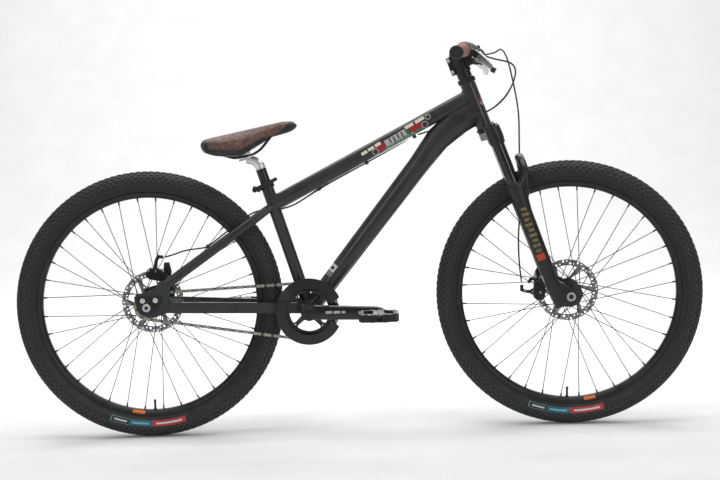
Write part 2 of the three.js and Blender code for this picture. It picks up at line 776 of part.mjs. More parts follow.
function makeFrame() {
  const downTubeFront = onHeadTube(downTubeJoinOnHeadTube);
  const bends = downTubeBendShares.map(([back, drop]) => (
    downTubeFront.clone().add(vec(downTubeBendBack * back, 0, downTubeBendDrop * drop))));
  const topTubeMid = topTubeRear.clone().lerp(topTubeFront, 0.5);
  const halfShell = vec(0, shellWidth / 2, 0);
  const stays = [-1, 1].flatMap((side) => [chainstay(side), seatstay(side), dropout(side)]);
  const tubes = join(
    rod(headTubeFoot, headTubeTop, headTubeRadius, roundSides),
    rod(shellCentre, seatTubeTop, seatTubeRadius, roundSides),
    rod(shellCentre.clone().sub(halfShell), shellCentre.clone().add(halfShell), shellRadius, roundSides),
    taperedTube([
      [topTubeRear, topTubeRearRadius, topTubeRearRadius],
      [topTubeMid, topTubeMidRadius, topTubeMidRadius],
      [topTubeFront, topTubeFrontRadius, topTubeFrontRadius],
    ], roundSides),
    taperedTube([shellCentre, ...bends, downTubeFront]
      .map((place, i) => [place, downTubeRadius, downTubeRadius * downTubeTallShares[i]]), roundSides),
    ...stays,
    rod(seatstayPlace(bridgeShare, -1), seatstayPlace(bridgeShare, 1), bridgeRadius, smallSides),
    rod(chainstayPlace(yokeShare, -1), chainstayPlace(yokeShare, 1), bridgeRadius, smallSides),
    plate(
      scaled(calliperTabShares, dropoutSize, rearAxle), [], calliperTabInside,
      calliperTabInside + calliperTabPlate,
    ),
    ...guideShares.map((share) => guide(guidePlace(share), topTubeWay)),
    guide(stayGuide, stayWay),
  );
  const headBore = bore(steererRadius + 2 * clearance, roundSides);
  return cut(
    tubes,
    rod(onHeadTube(-overrun), onHeadTube(headTubeLength + overrun), headBore, roundSides),
    rod(
      onSeatTube(shellRadius), onSeatTube(seatTubeLength + overrun), bore(postRadius, roundSides), roundSides,
    ),
    rod(
      shellCentre.clone().addScaledVector(halfShell, 1 + overrun / shellWidth),
      shellCentre.clone().addScaledVector(halfShell, -1 - overrun / shellWidth),
      shellRadius - shellWall, roundSides,
    ),
    ...guideShares.map((share) => guideHole(guidePlace(share), topTubeWay)),
    guideHole(stayGuide, stayWay),
  );
}
piece('frame', makeFrame(), frameBlack, bike);

// Sliding dropout plates carry the rear axle and hold the chain tight
for (const [name, side] of [['right', -1], ['left', 1]]) {
  const inner = side * (dropoutInside + dropoutPlate + clearance);
  const outer = inner + side * sliderPlate;
  const body = plate(
    scaled(sliderOutlineShares, dropoutSize, rearAxle), [], Math.min(inner, outer), Math.max(inner, outer),
  );
  const bolts = sliderBoltShares.map(([x, z]) => {
    const foot = rearAxle.clone().add(vec(x * dropoutSize, outer - side * clearance, z * dropoutSize));
    return rod(
      foot, foot.clone().add(vec(0, side * (sliderBoltHeight + clearance), 0)), sliderBoltRadius, boltSides,
    );
  });
  const hole = rod(
    rearAxle.clone().add(vec(0, inner - side * overrun, 0)),
    rearAxle.clone().add(vec(0, outer + side * overrun, 0)),
    bore(rearAxleRadius, roundSides), roundSides,
  );
  piece(`dropout_slider_${name}`, cut(join(body, ...bolts), hole), satinBlack, bike);
}

const sliderFace = dropoutInside + dropoutPlate + sliderPlate + 2 * clearance;
piece('rear_axle', turned([
  [0, -sliderFace - axleNutHeight],
  [axleNutRadius, -sliderFace - axleNutHeight],
  [axleNutRadius, -sliderFace],
  [rearAxleRadius, -sliderFace],
  [rearAxleRadius, sliderFace],
  [axleNutRadius, sliderFace],
  [axleNutRadius, sliderFace + axleNutHeight],
  [0, sliderFace + axleNutHeight],
], roundSides, rearAxle), brushed, bike);

// Headset cups sit on both ends of the head tube
const cupBore = bore(steererRadius, roundSides);
const cup = (foot, height) => ring([
  [cupBore, 0], [cupRadius - cupChamfer, 0], [cupRadius, height * cupChamferShare],
  [cupRadius, height * (1 - cupChamferShare)], [cupRadius - cupChamfer, height], [cupBore, height],
], roundSides, onHeadTube(foot), steerUp);
piece('headset_cup_lower', cup(-crownRaceHeight, crownRaceHeight - clearance), satinBlack, bike);
piece('headset_cup_upper', cup(headTubeLength + clearance, cupHeight), satinBlack, bike);

// Bottom bracket cups screw into the shell from both sides
for (const [name, side] of [['right', -1], ['left', 1]]) {
  const face = shellWidth / 2 + clearance;
  const inside = shellRadius - shellWall - 2 * clearance;
  const hole = bore(spindleRadius, roundSides);
  piece(`bottom_bracket_cup_${name}`, ring([
    [hole, face - bracketCupDepth], [inside, face - bracketCupDepth], [inside, face],
    [shellRadius, face], [shellRadius - smallChamfer, face + cupFlange], [hole, face + cupFlange],
  ], roundSides, shellCentre, vec(0, side, 0)), satinBlack, bike);
}

// Seat collar with its slit and ears at the back
const collarFoot = seatTubeLength - collarHeight;
function makeCollar() {
  const hole = bore(seatTubeRadius, roundSides);
  const body = ring(
    [[hole, 0], [collarRadius, 0], [collarRadius, collarHeight], [hole, collarHeight]], roundSides,
    onSeatTube(collarFoot), seatUp,
  );
  const earMiddle = onSeatTube(collarFoot + collarHeight / 2, seatTubeRadius + collarEar / 2 + collarEarGap);
  const ears = block(
    earMiddle, collarEar, 2 * collarEarHalf, collarHeight * collarEarShare, 90 - seatTubeAngle,
  );
  const slitMiddle = onSeatTube(collarFoot + collarHeight / 2, seatTubeRadius + collarEar);
  const slit = block(
    slitMiddle, 2 * collarEar + overrun, collarSlit, collarHeight + overrun, 90 - seatTubeAngle,
  );
  const tube = rod(onSeatTube(0), onSeatTube(seatTubeLength + overrun), hole, roundSides);
  return cut(join(body, cut(ears, tube)), slit);
}
piece('seat_collar', makeCollar(), satinBlack, bike);

// Quick release: pivot on the right ear, handle laid forward along the tube's right side
const leverPivot = onSeatTube(
  collarFoot + collarHeight / 2, seatTubeRadius + collarEar * seatLeverPivotShare,
);
const seatLeverY = -(collarRadius + seatLeverThickness / 2 + seatLeverRoom);
const leverHub = leverPivot.clone().setY(-collarEarHalf - clearance);
const seatLeverTip = leverPivot.clone().addScaledVector(seatBack, -seatLeverLength * seatLeverTipShares[0])
  .addScaledVector(seatUp, seatLeverLength * seatLeverTipShares[1]);
piece('seat_clamp_lever', join(
  rod(leverHub, leverHub.clone().setY(seatLeverY - seatLeverThickness / 2), seatLeverPivotRadius, boltSides),
  taperedTube([
    [leverPivot.clone().setY(seatLeverY), seatLeverThickness / 2, seatLeverWidth / 2],
    [
      leverPivot.clone().lerp(seatLeverTip, 0.5).setY(seatLeverY - seatLeverBow), seatLeverThickness / 2,
      seatLeverWidth / 2,
    ],
    [
      seatLeverTip.clone().setY(seatLeverY), (seatLeverThickness / 2) * seatLeverEndShare,
      (seatLeverWidth / 2) * seatLeverEndShare,
    ],
  ], smallSides),
), satinBlack, bike);

// Seat post, its clamp and the saddle share the post's frame
const clampPlace = onSeatTube(seatTubeLength + postExposed + headRise, headSetback);
function makePost() {
  const foot = seatTubeLength + postExposed - postLength;
  const top = seatTubeLength + postExposed;
  const tube = rod(onSeatTube(foot), onSeatTube(top), postRadius, roundSides);
  const head = taperedTube([
    [onSeatTube(top - headOverlap), postRadius - headInset, postRadius - headInset],
    [onSeatTube(top + headRise * headBendShares[0], headSetback * headBendShares[1]), headRadius, headRadius],
    [
      clampPlace.clone().addScaledVector(seatUp, -cradleHeight - railRadius), headRadius,
      headRadius * headTopShare,
    ],
  ], roundSides);
  const ledge = onSaddle(0, 0, -railRadius - clearance - cradleHeight / 2);
  const shelf = block(
    ledge, cradleLength * cradlePlateShares[0], cradleWidth * cradlePlateShares[1], cradleHeight, -saddleTilt,
  );
  const aboveShelf = block(
    onSaddle(0, 0, cradleWidth / 2 - railRadius - clearance), 2 * cradleLength, cradleWidth, cradleWidth,
    -saddleTilt,
  );
  return cut(join(tube, head, shelf), aboveShelf);
}

const tiltUp = vec(-Math.sin(saddleTilt * degree), 0, Math.cos(saddleTilt * degree));
const tiltForward = vec(Math.cos(saddleTilt * degree), 0, Math.sin(saddleTilt * degree));
const onSaddle = (ahead, across, above) => clampPlace.clone()
  .addScaledVector(tiltForward, ahead).addScaledVector(tiltUp, above).setY(across);

// Rails: one wire, from the right tail socket round under the nose and back to the left
piece('seat_post', makePost(), polished, bike);
function railPath(side) {
  return railShares.map(([ahead, across, above]) => [
    ahead * saddleLength, side * railSpacing * across, above * saddleAboveClamp,
  ]);
}
const railPlaces = [...railPath(-1), ...railPath(1).reverse()].map(([x, y, z]) => onSaddle(x, y, z));
function makeRails(radius) {
  const rounded = railPlaces.flatMap((place, i) => {
    if (i === 0 || i === railPlaces.length - 1) return [place];
    return [
      place.clone().lerp(railPlaces[i - 1], railBendShare),
      place.clone().lerp(railPlaces[i + 1], railBendShare),
    ];
  });
  const ways = directions(rounded);
  const rings = rounded.map((place, i) => {
    const up = tiltUp.clone().addScaledVector(ways[i], -tiltUp.dot(ways[i])).normalize();
    const across = up.clone().cross(ways[i]).normalize();
    return arc(
      0, 0, radius, railSides,
    ).map(([a, b]) => place.clone().addScaledVector(across, a).addScaledVector(up, b));
  });
  return loft(rings);
}
piece('saddle_rails', makeRails(railRadius), satinBlack, bike);

// Upper cradle presses the rails onto the head of the post
const upperCradle = block(
  onSaddle(0, 0, railRadius + clearance + cradleHeight / 2), cradleLength * cradlePlateShares[0],
  cradleWidth * cradlePlateShares[1], cradleHeight, -saddleTilt,
);
const cradleBolt = rod(
  onSaddle(0, 0, -railRadius), onSaddle(0, 0, railRadius + cradleHeight + cradleBoltHead), cradleBoltRadius,
  boltSides,
);
piece('saddle_clamp', join(upperCradle, cradleBolt), brushed, bike);

// The saddle from tail to nose: [along, half width, top, depth, how much of the depth is base] as shares
const saddleShares = [
  [0, 0.3, 0.9, 0.2, 0.6], [0.026, 0.58, 0.935, 0.35, 0.66], [0.1, 0.84, 1, 0.63, 0.66],
  [0.2, 1, 1, 0.86, 0.56],
  [0.36, 0.95, 1, 1, 0.44], [0.5, 0.62, 1, 0.79, 0.3], [0.61, 0.44, 1, 0.64, 0.36],
  [0.72, 0.34, 1, 0.48, 0.42],
  [0.86, 0.3, 1, 0.45, 0.42], [0.96, 0.25, 0.95, 0.4, 0.42], [1, 0.1, 0.76, 0.15, 0.4],
];
const saddleArcSteps = 9;
const saddleStation = ([along, width, top, depth, split]) => ({
  ahead: saddleLength * along - saddleBehindClamp,
  half: (saddleWidth / 2) * width,
  roof: saddleAboveClamp * top,
  floor: saddleAboveClamp * top - saddleDepth * depth,
  seam: saddleAboveClamp * top - saddleDepth * depth * (1 - split),
});
const cushionRoundness = 0.6;
const pad = loft(saddleShares.map(saddleStation).map(({ ahead, half, roof, seam }) => (
  Array.from({ length: saddleArcSteps + 1 }, (_, i) => {
    const angle = Math.PI * (i / saddleArcSteps);
    return onSaddle(
      ahead, half * Math.cos(angle), seam + (roof - seam) * Math.sin(angle) ** cushionRoundness,
    );
  }))));
piece('saddle_pad', pad, seatBrown, bike);
const baseWidthShare = 0.96;
const baseFloorShare = 0.62;
const baseRings = saddleShares.map(saddleStation).map(({ ahead, half, floor, seam }) => [
  [-baseFloorShare, floor], [baseFloorShare, floor], [baseWidthShare, (floor + seam) / 2],
  [baseWidthShare, seam],
  [-baseWidthShare, seam], [-baseWidthShare, (floor + seam) / 2],
].map(([across, height]) => onSaddle(ahead * baseWidthShare, half * across, height)));
const clampRoomTop = railRadius + cradleHeight + cradleBoltHead + 2 * clearance;
const clampRoom = block(
  onSaddle(0, 0, clampRoomTop - cradleWidth / 2), cradleLength, cradleWidth, cradleWidth, -saddleTilt,
);
const base = cut(
  loft(baseRings), makeRails(railRadius + clearance), clampRoom, pad.translate([0, 0, -clearance]),
);
piece('saddle_base', base, satinBlack, bike);

// Everything that steers stands in the steering axis's own frame: x ahead of it, z up along it
const steering = new THREE.Group();
steering.position.copy(steerFoot);
steering.rotation.set(0, (headTubeAngle - 90) * degree, steerTurn * degree, 'YZX');
bike.add(steering);

// A plate cut from an outline in X and Y, between two heights
function slab(outline, holes, low, high) {
  const shape = new THREE.Shape(outline.map(([x, y]) => new THREE.Vector2(x, y)));
  for (const hole of holes) shape.holes.push(new THREE.Path(hole.map(([x, y]) => new THREE.Vector2(x, y))));
  const geometry = new THREE.ExtrudeGeometry(shape, { depth: high - low, bevelEnabled: false, steps: 1 });
  return solid(geometry.translate(0, 0, low));
}

// Fork crown with the steerer
const stanchionSide = stanchionSpacing / 2;
const crownFoot = crownTop - crownThickness;
const stemFoot = forkLength + headTubeLength + cupHeight + spacerHeight + 3 * clearance;
const stemTop = stemFoot + stemHeight;
const crownOutlineShares = [
  [-0.15, -0.1], [-0.16, 0], [-0.15, 0.1], [0, 0.46], [0.1, 0.62], [0.24, 0.5], [0.22, 0.16], [0.2, 0],
  [0.22, -0.16], [0.24, -0.5], [0.1, -0.62], [0, -0.46],
];
function makeCrown() {
  const outline = crownOutlineShares.map(([x, y]) => [x * stanchionSpacing, y * stanchionSpacing]);
  const socketTop = crownTop + crownSocketAbove;
  const sockets = [-1, 1].map((side) => taperedTube([
    [
      vec(stanchionAhead, side * stanchionSide, crownTop - crownSocketBelow),
      crownSocketRadius - crownSocketTaper, crownSocketRadius - crownSocketTaper,
    ],
    [vec(stanchionAhead, side * stanchionSide, crownFoot), crownSocketRadius, crownSocketRadius],
    [
      vec(stanchionAhead, side * stanchionSide, socketTop), crownSocketRadius - smallChamfer,
      crownSocketRadius - smallChamfer,
    ],
  ], roundSides));
  const holes = [-1, 1].map((side) => rod(
    vec(stanchionAhead, side * stanchionSide, crownTop - crownSocketBelow - overrun),
    vec(stanchionAhead, side * stanchionSide, socketTop + overrun),
    bore(stanchionRadius, roundSides), roundSides,
  ));
  const steerer = rod(vec(0, 0, crownFoot), vec(0, 0, stemTop - steererBelowCap), steererRadius, roundSides);
  return join(cut(join(slab(outline, [], crownFoot, crownTop), ...sockets), ...holes), steerer);
}
piece('fork_crown', makeCrown(), forkGrey, steering);

for (const [name, side] of [['right', -1], ['left', 1]]) {
  const top = crownTop + crownSocketAbove;
  piece(`stanchion_${name}`, turned([
    [0, stanchionFoot], [stanchionRadius, stanchionFoot], [stanchionRadius, top], [adjusterRadius, top],
    [adjusterRadius, top + adjusterHeight], [0, top + adjusterHeight],
  ], roundSides, vec(stanchionAhead, side * stanchionSide, 0), vec(0, 0, 1)), polished, steering);
}

// Lowers: two hollow legs, an arch ahead of the tyre and a lug for the axle on each leg
const hollowFloor = stanchionFoot - forkTravel - bottomOutRoom;
const lugInside = forkHubGap / 2;
const lugOutside = lugInside + frontLugWidth;
function makeLowers() {
  const legs = [-1, 1].map((side) => taperedTube(legShares.map(([height, wide, deep]) => [
    vec(stanchionAhead, side * stanchionSide, lowersTop * height), lowersTopRadius * wide,
    lowersTopRadius * deep,
  ]), roundSides));
  const hollows = [-1, 1].map((side) => rod(
    vec(stanchionAhead, side * stanchionSide, hollowFloor),
    vec(stanchionAhead, side * stanchionSide, archTop),
    bore(stanchionRadius, roundSides), roundSides,
  ));
  const sealRooms = [-1, 1].map((side) => rod(
    vec(stanchionAhead, side * stanchionSide, lowersTop), vec(stanchionAhead, side * stanchionSide, archTop),
    bore(sealRadius, roundSides), roundSides,
  ));
  const lugOutline = [
    [stanchionAhead - lowersTopRadius * lugHeelShare, lowersFoot], [stanchionAhead, lowersFoot - lugFootDrop],
    ...arc(forkOffset, 0, frontLugRadius, lugSteps, ...lugArc),
    [stanchionAhead + lowersTopRadius * lugTopShares[0], frontLugRadius * lugTopShares[1]],
  ];
  const lugs = [-1, 1].map((side) => plate(
    lugOutline, [], side < 0 ? -lugOutside : lugInside, side < 0 ? -lugInside : lugOutside,
  ));
  const arch = taperedTube(archShares.map(([side, ahead, height]) => [
    vec(
      stanchionAhead + (archAhead - stanchionAhead) * ahead, side * stanchionSide,
      lowersTop + (archTop - archTall / 2 - lowersTop) * height,
    ), archDeep / 2, archTall / 2,
  ]), archSides, vec(1, 0, 0), squareness);
  const tab = plate(
    frontTabShares.map(([x, z]) => [x * frontTabSize, z * frontTabSize]), [], frontTabInside,
    frontTabInside + frontTabPlate,
  );
  const axleHole = rod(
    vec(forkOffset, -lugOutside - overrun, 0), vec(forkOffset, lugOutside + overrun, 0),
    bore(frontAxleRadius, axleSides), axleSides,
  );
  const clip = rod(archClip, archClip.clone().add(vec(0, 0, guideLength)), guideRadius, smallSides);
  const clipHole = rod(
    archClip.clone().add(vec(0, 0, -overrun)), archClip.clone().add(vec(0, 0, guideLength + overrun)),
    bore(cableRadius, smallSides) + clearance, smallSides,
  );
  return cut(join(...legs, ...lugs, arch, tab, clip), ...hollows, ...sealRooms, axleHole, clipHole);
}
const forkLowers = makeLowers();
piece('fork_lowers', forkLowers, forkGrey, steering);

for (const [name, side] of [['right', -1], ['left', 1]]) {
  const hole = bore(stanchionRadius, roundSides);
  piece(`fork_seal_${name}`, ring([
    [hole, clearance], [sealRadius, clearance], [sealRadius - sealTaper, sealHeight], [hole, sealHeight],
  ], roundSides, vec(stanchionAhead, side * stanchionSide, lowersTop), vec(0, 0, 1)), softRubber, steering);
}

const axleEnd = lugOutside + frontAxleOverhang;
piece('front_axle', turned([
  [0, -axleEnd], [frontAxleRadius + frontAxleHead, -axleEnd],
  [frontAxleRadius + frontAxleHead, -lugOutside - clearance],
  [frontAxleRadius, -lugOutside - clearance], [frontAxleRadius, axleEnd], [0, axleEnd],
], axleSides, vec(forkOffset, 0, 0)), brushed, steering);

// Stem, spacer, top cap and bar
piece('headset_spacer', ring([
  [cupBore, clearance], [spacerRadius, clearance], [spacerRadius, spacerHeight], [cupBore, spacerHeight],
], roundSides, vec(0, 0, stemFoot - spacerHeight - clearance), vec(0, 0, 1)), satinBlack, steering);

const barClamp = vec(stemReach, 0, stemFoot + stemHeight / 2);
const barUp = vec(-Math.sin(barRoll * degree), 0, Math.cos(barRoll * degree));
const barForward = vec(Math.cos(barRoll * degree), 0, Math.sin(barRoll * degree));
const onBar = (across, ahead = 0, above = 0) => barClamp.clone()
  .addScaledVector(barForward, ahead).addScaledVector(barUp, above).setY(across);
const sweepSlope = Math.tan(barSweep * degree);
// The middle line of the bar at a distance from its middle
function barLine(across) {
  const out = Math.abs(across);
  const risen = THREE.MathUtils.smoothstep(out, barBendHalf * barRiseStartShare, barRiseHalf);
  const swept = Math.max(out - barBendHalf, 0) * sweepSlope * THREE.MathUtils.smoothstep(
    out, barBendHalf, barRiseHalf * barSweepEndShare,
  );
  return onBar(across, -swept, barRise * risen);
}
const clampOuter = barClampRadius + barClampWall;
const clampHole = rod(
  barClamp.clone().setY(-barClampWidth), barClamp.clone().setY(barClampWidth),
  bore(barClampRadius, roundSides), roundSides,
);
const clampBody = rod(
  barClamp.clone().setY(-barClampWidth / 2), barClamp.clone().setY(barClampWidth / 2), clampOuter, roundSides,
);
const faceRoom = block(
  barClamp.clone().add(vec(clampOuter, 0, 0)), 2 * clampOuter, barClampWidth + overrun,
  2 * clampOuter + overrun,
);
function makeStem() {
  const sleeve = rod(vec(0, 0, stemFoot), vec(0, 0, stemTop), stemBodyRadius, roundSides);
  const neck = taperedTube(stemNeckShares.map(([along, wide, tall]) => [
    vec(stemReach * along, 0, barClamp.z), stemBodyHalfWidth * wide, stemNeckHalf * tall,
  ]), smallSides, alongY, squareness);
  const ears = block(
    vec(-stemBodyRadius - stemBoltReach * stemEarShare, 0, barClamp.z), 2 * stemBoltReach, stemBodyHalfWidth,
    stemHeight * stemEarTallShare,
  );
  const steererHole = rod(vec(0, 0, stemFoot - overrun), vec(0, 0, stemTop + overrun), cupBore, roundSides);
  const slit = block(
    vec(-stemBodyRadius, 0, barClamp.z), 2 * stemBoltReach + overrun, stemSlit, stemHeight + overrun,
  );
  const bolts = [-1, 1].map((side) => {
    const place = vec(
      -stemBodyRadius - stemBoltReach * stemBoltShare, -stemBodyHalfWidth / 2,
      barClamp.z + (side * stemBoltSpacing) / 2,
    );
    return rod(
      place.clone().setY(-stemBodyHalfWidth / 2 - stemBoltRadius),
      place.clone().setY(stemBodyHalfWidth / 2 + stemBoltEnd), stemBoltRadius, boltSides,
    );
  });
  return cut(
    join(cut(join(sleeve, neck, ears, clampBody), steererHole, faceRoom, slit), ...bolts), clampHole,
  );
}
piece('stem', makeStem(), satinBlack, steering);
const faceplate = cut(clampBody, clampHole, block(
  barClamp.clone().sub(vec(clampOuter - faceplateGap, 0, 0)), 2 * clampOuter, barClampWidth + overrun,
  2 * clampOuter + overrun,
));
const faceBolts = [-1, 1].flatMap((side) => [-1, 1].map((level) => {
  const place = barClamp.clone().add(vec(
    faceplateGap, side * barClampWidth * faceBoltShare, level * (clampOuter - smallChamfer),
  ));
  return rod(
    place, place.clone().add(vec(barClampRadius * faceBoltLengthShare, 0, 0)), stemBoltRadius, smallSides,
  );
}));
piece('stem_faceplate', cut(join(faceplate, ...faceBolts), clampHole), satinBlack, steering);
piece('stem_top_cap', turned([
  [0, clearance], [topCapRadius, clearance], [topCapRadius, topCapHeight - topCapChamfer],
  [topCapRadius - topCapChamfer, topCapHeight], [0, topCapHeight],
], roundSides, vec(0, 0, stemTop), vec(0, 0, 1)), satinBlack, steering);

const barHalf = barWidth / 2;
const barTubeEnd = barHalf - plugLength - clearance;
const barStations = [
  1, (barRiseHalf * barSweepEndShare) / barHalf, barRiseHalf / barHalf, ...barRiseShares,
  barBendHalf / barHalf, barStraightHalf / barHalf,
];
function makeBar() {
  const half = barStations.map((share) => {
    const across = Math.min(barHalf * share, barTubeEnd);
    const slim = THREE.MathUtils.smoothstep(across, barStraightHalf, barRiseHalf);
    const radius = barClampRadius + (barEndRadius - barClampRadius) * slim;
    return [across, radius];
  });
  const stations = [...half.map(([y, r]) => [-y, r]), ...half.reverse()];
  return taperedTube(stations.map(([y, r]) => [barLine(y), r, r]), roundSides, vec(1, 0, 0));
}
piece('handlebar', makeBar(), satinBlack, steering);

// Grips slide over the bar's ends and close them
for (const [name, side] of [['right', -1], ['left', 1]]) {
  const inner = barLine(side * (barHalf - gripLength));
  const way = barLine(side * barHalf).sub(inner).normalize();
  const length = barLine(side * barHalf).distanceTo(inner);
  const hole = bore(barEndRadius, roundSides) + clearance;
  piece(`grip_${name}`, turned([
    [0, length], [gripRadius - gripChamfer, length], [gripRadius, length - gripChamfer],
    [gripRadius, gripFlangeWidth + smallChamfer],
    [gripFlangeRadius, gripFlangeWidth], [gripFlangeRadius, 0], [hole, 0],
    [hole, length - plugLength + clearance], [0, length - plugLength + clearance],
  ], roundSides, inner, way), gripCopper, steering);
}

// Brake perch and lever. Places are [out along the bar, reach from the bar, across the lever's blade]
function leverFrame(side) {
  const origin = barLine(side * perchPlace);
  const out = barLine(side * barHalf).sub(origin).normalize();
  const reach = vec(Math.cos(leverDrop * degree), 0, -Math.sin(leverDrop * degree));
  reach.addScaledVector(out, -reach.dot(out)).normalize();
  const across = out.clone().cross(reach).normalize();
  return {
    out, reach, across, origin,
    at: (w, q, t = 0) => origin.clone().addScaledVector(out, w).addScaledVector(reach, q).addScaledVector(
      across, t,
    ),
  };
}
const leverStations = leverShares.map(([along, far, deep, wide]) => [
  leverLength * along, pivotReach + (leverTipReach - pivotReach) * far, leverDepth * deep, leverWidth * wide,
]);
function lever({ at, across }) {
  const outer = loft(leverStations.map(([w, q, deep, wide]) => [
    at(w, q - deep / 2, -wide / 2), at(w, q + deep / 2, -wide / 2), at(w, q + deep / 2, wide / 2),
    at(w, q - deep / 2, wide / 2),
  ]));
  const inner = loft(leverStations.slice(0, -1).map(([w, q, deep, wide], i) => {
    const half = wide / 2 - leverWall;
    const along = i === 0 ? w - overrun : w;
    return [
      at(along, q - deep, -half), at(along, q + deep / 2 - leverWall, -half),
      at(along, q + deep / 2 - leverWall, half), at(along, q - deep, half),
    ];
  }));
  const [tipAlong, tipReach] = leverStations[leverStations.length - 1];
  const ball = rod(
    at(tipAlong - leverBallInset, tipReach, -leverBallRadius),
    at(tipAlong - leverBallInset, tipReach, leverBallRadius), leverBallRadius, boltSides,
  );
  const pinHole = rod(
    at(0, pivotReach, -leverWidth), at(0, pivotReach, leverWidth), bore(leverPinRadius, smallSides),
    smallSides,
  );
  return cut(join(cut(outer, inner), ball), pinHole);
}
function perch({ at, origin, out }) {
  const clampRing = rod(at(-perchWidth / 2, 0), at(perchWidth / 2, 0), perchRadius, roundSides);
  const half = perchBodyHalf;
  const bodyIn = perchWidth / 2 - smallChamfer;
  const body = loft([
    [[-bodyIn, 0], [bodyIn, 0]],
    [[-bodyIn, pivotReach * perchWaistShare], [leverPinRadius, pivotReach * perchWaistShare]],
    [
      [-bodyIn, pivotReach + leverPinRadius + smallChamfer],
      [leverPinRadius, pivotReach + leverPinRadius + smallChamfer],
    ],
  ].map(([[w0, q0], [w1, q1]]) => [
    at(w0, q0, -half), at(w1, q1, -half), at(w1, q1, half), at(w0, q0, half),
  ]));
  const pinHalf = leverWidth / 2 + smallChamfer;
  const pin = rod(at(0, pivotReach, -pinHalf), at(0, pivotReach, pinHalf), leverPinRadius, smallSides);
  const barrel = rod(
    at(-perchWidth / 3, barrelReach), at(-perchWidth / 2 - barrelLength, barrelReach), barrelRadius,
    boltSides, barrelRadius * barrelEndShare,
  );
  const hole = rod(
    at(-perchWidth, 0), at(perchWidth, 0), bore(barEndRadius, roundSides) + clearance, roundSides,
  );
  return cut(join(clampRing, body, pin, barrel), hole);
}
const leverSides = [['right', -1], ['left', 1]].map(([name, side]) => [name, leverFrame(side)]);
for (const [name, place] of leverSides) {
  piece(`brake_perch_${name}`, perch(place), satinBlack, steering);
  piece(`brake_lever_${name}`, lever(place), polished, steering);
}

// A cable disc calliper in the plane of its wheel: t runs round the disc, r out from the pads
function calliper(axle, rotorPlace, angle, outside) {
  const radial = vec(Math.cos(angle * degree), 0, Math.sin(angle * degree));
  const tangent = vec(radial.z, 0, -radial.x);
  const at = (t, r, y) => axle.clone().addScaledVector(
    radial, rotorRadius - padInset + r,
  ).addScaledVector(tangent, t).setY(y);
  const middle = rotorPlace + rotorThickness / 2;
  const inside = middle - calliperWidth;
  const bodyOutline = calliperOutlineShares.map(([t, r]) => [t * calliperLength, r * calliperTall]);
  const body = loft([
    inside, inside + calliperChamfer, outside - calliperChamfer, outside,
  ].map((y, i) => bodyOutline.map(([t, r]) => {
    const shrink = i === 0 || y === outside ? calliperEndShare : 1;
    return at(t * shrink, r * shrink, y);
  })));
  const slot = rod(
    axle.clone().setY(middle - calliperSlot / 2), axle.clone().setY(middle + calliperSlot / 2),
    rotorRadius + calliperSlotRoom, spokeCount,
  );
  const bossTop = outside + calliperBossHeight;
  const boss = rod(at(0, 0, outside - overrun), at(0, 0, bossTop), calliperBossRadius, roundSides);
  const armPlane = bossTop + clearance + calliperArmThickness / 2;
  const stop = taperedTube([
    [
      at(-calliperLength * stopShares[0], calliperTall * stopShares[1], outside - stopRadius), stopRadius,
      stopRadius,
    ],
    [
      at(-calliperLength * stopShares[0], stopReach * stopShares[2], armPlane - stopHook), stopThickness / 2,
      stopRadius,
    ],
    [at(-calliperLength * stopShares[3], stopReach, armPlane), stopThickness / 2, stopRadius],
  ], cableSides);
  const barrelSpan = [at(-stopBarrel / 2, stopReach, armPlane), at(stopBarrel / 2, stopReach, armPlane)];
  const barrel = rod(barrelSpan[0], barrelSpan[1], stopRadius, smallSides);
  const arm = join(
    taperedTube(calliperArmShares.map(([t, r, size]) => [
      at(t * calliperArmLength, r * calliperArmLength, armPlane), calliperArmThickness / 2,
      (calliperArmWidth / 2) * size,
    ]), smallSides, alongY, squareness),
    rod(
      at(0, 0, armPlane - calliperArmThickness / 2),
      at(0, 0, armPlane + calliperArmThickness / 2 + calliperBoltHead),
      calliperArmWidth * calliperArmBossShare, roundSides,
    ),
  );
  return { body: cut(join(body, boss, stop, barrel), slot), arm, cableEnd: barrelSpan[1], tangent };
}
const rearBrake = calliper(rearAxle, rearRotorPlace, rearPadAngle, calliperTabInside - clearance);
piece('rear_calliper', rearBrake.body, satinBlack, bike);
piece('rear_calliper_arm', rearBrake.arm, satinBlack, bike);
const frontBrake = calliper(
  vec(forkOffset, 0, 0), frontRotorPlace, frontPadAngle, frontTabInside - clearance,
);
piece('front_calliper', frontBrake.body, satinBlack, steering);
piece('front_calliper_arm', frontBrake.arm, satinBlack, steering);

// Wheels stand about their own axle, with a corner of each ring straight down
function ringPoints(shares) {
  const depth = wheelRadius - rimBedRadius - clearance;
  const outer = shares.map(([out, wide]) => [rimBedRadius + clearance + depth * out, tyreHalfWidth * wide]);
  return outer;
}
function makeTyre() {
  const outer = ringPoints(tyreOutlineShares);
  const middle = (wheelRadius + rimBedRadius) / 2;
  const thin = (tyreHalfWidth - tyreWall) / tyreHalfWidth;
  const inner = ringPoints(tyreInnerShares).map(([r, y]) => [middle + (r - middle) * thin, y * thin]);
  const mirror = (points) => points.map(([r, y]) => [r, -y]);
  return ring([
    ...outer, ...mirror(outer).reverse(), [outer[0][0] + tyreWall, -(outer[0][1] - tyreWall)],
    ...mirror(inner), ...inner.reverse(), [outer[0][0] + tyreWall, outer[0][1] - tyreWall],
  ], spokeCount);
}
function makeRim() {
  const half = [
    [rimFlangeRadius, rimHalfWidth - rimFlange], [rimFlangeRadius, rimHalfWidth],
    [rimInnerRadius, rimHalfWidth * rimBaseShare],
  ];
  return ring([
    [rimBedRadius, rimHalfWidth - rimFlangeFoot], ...half, ...half.map(([r, y]) => [r, -y]).reverse(),
    [rimBedRadius, rimFlangeFoot - rimHalfWidth],
  ], spokeCount);
}
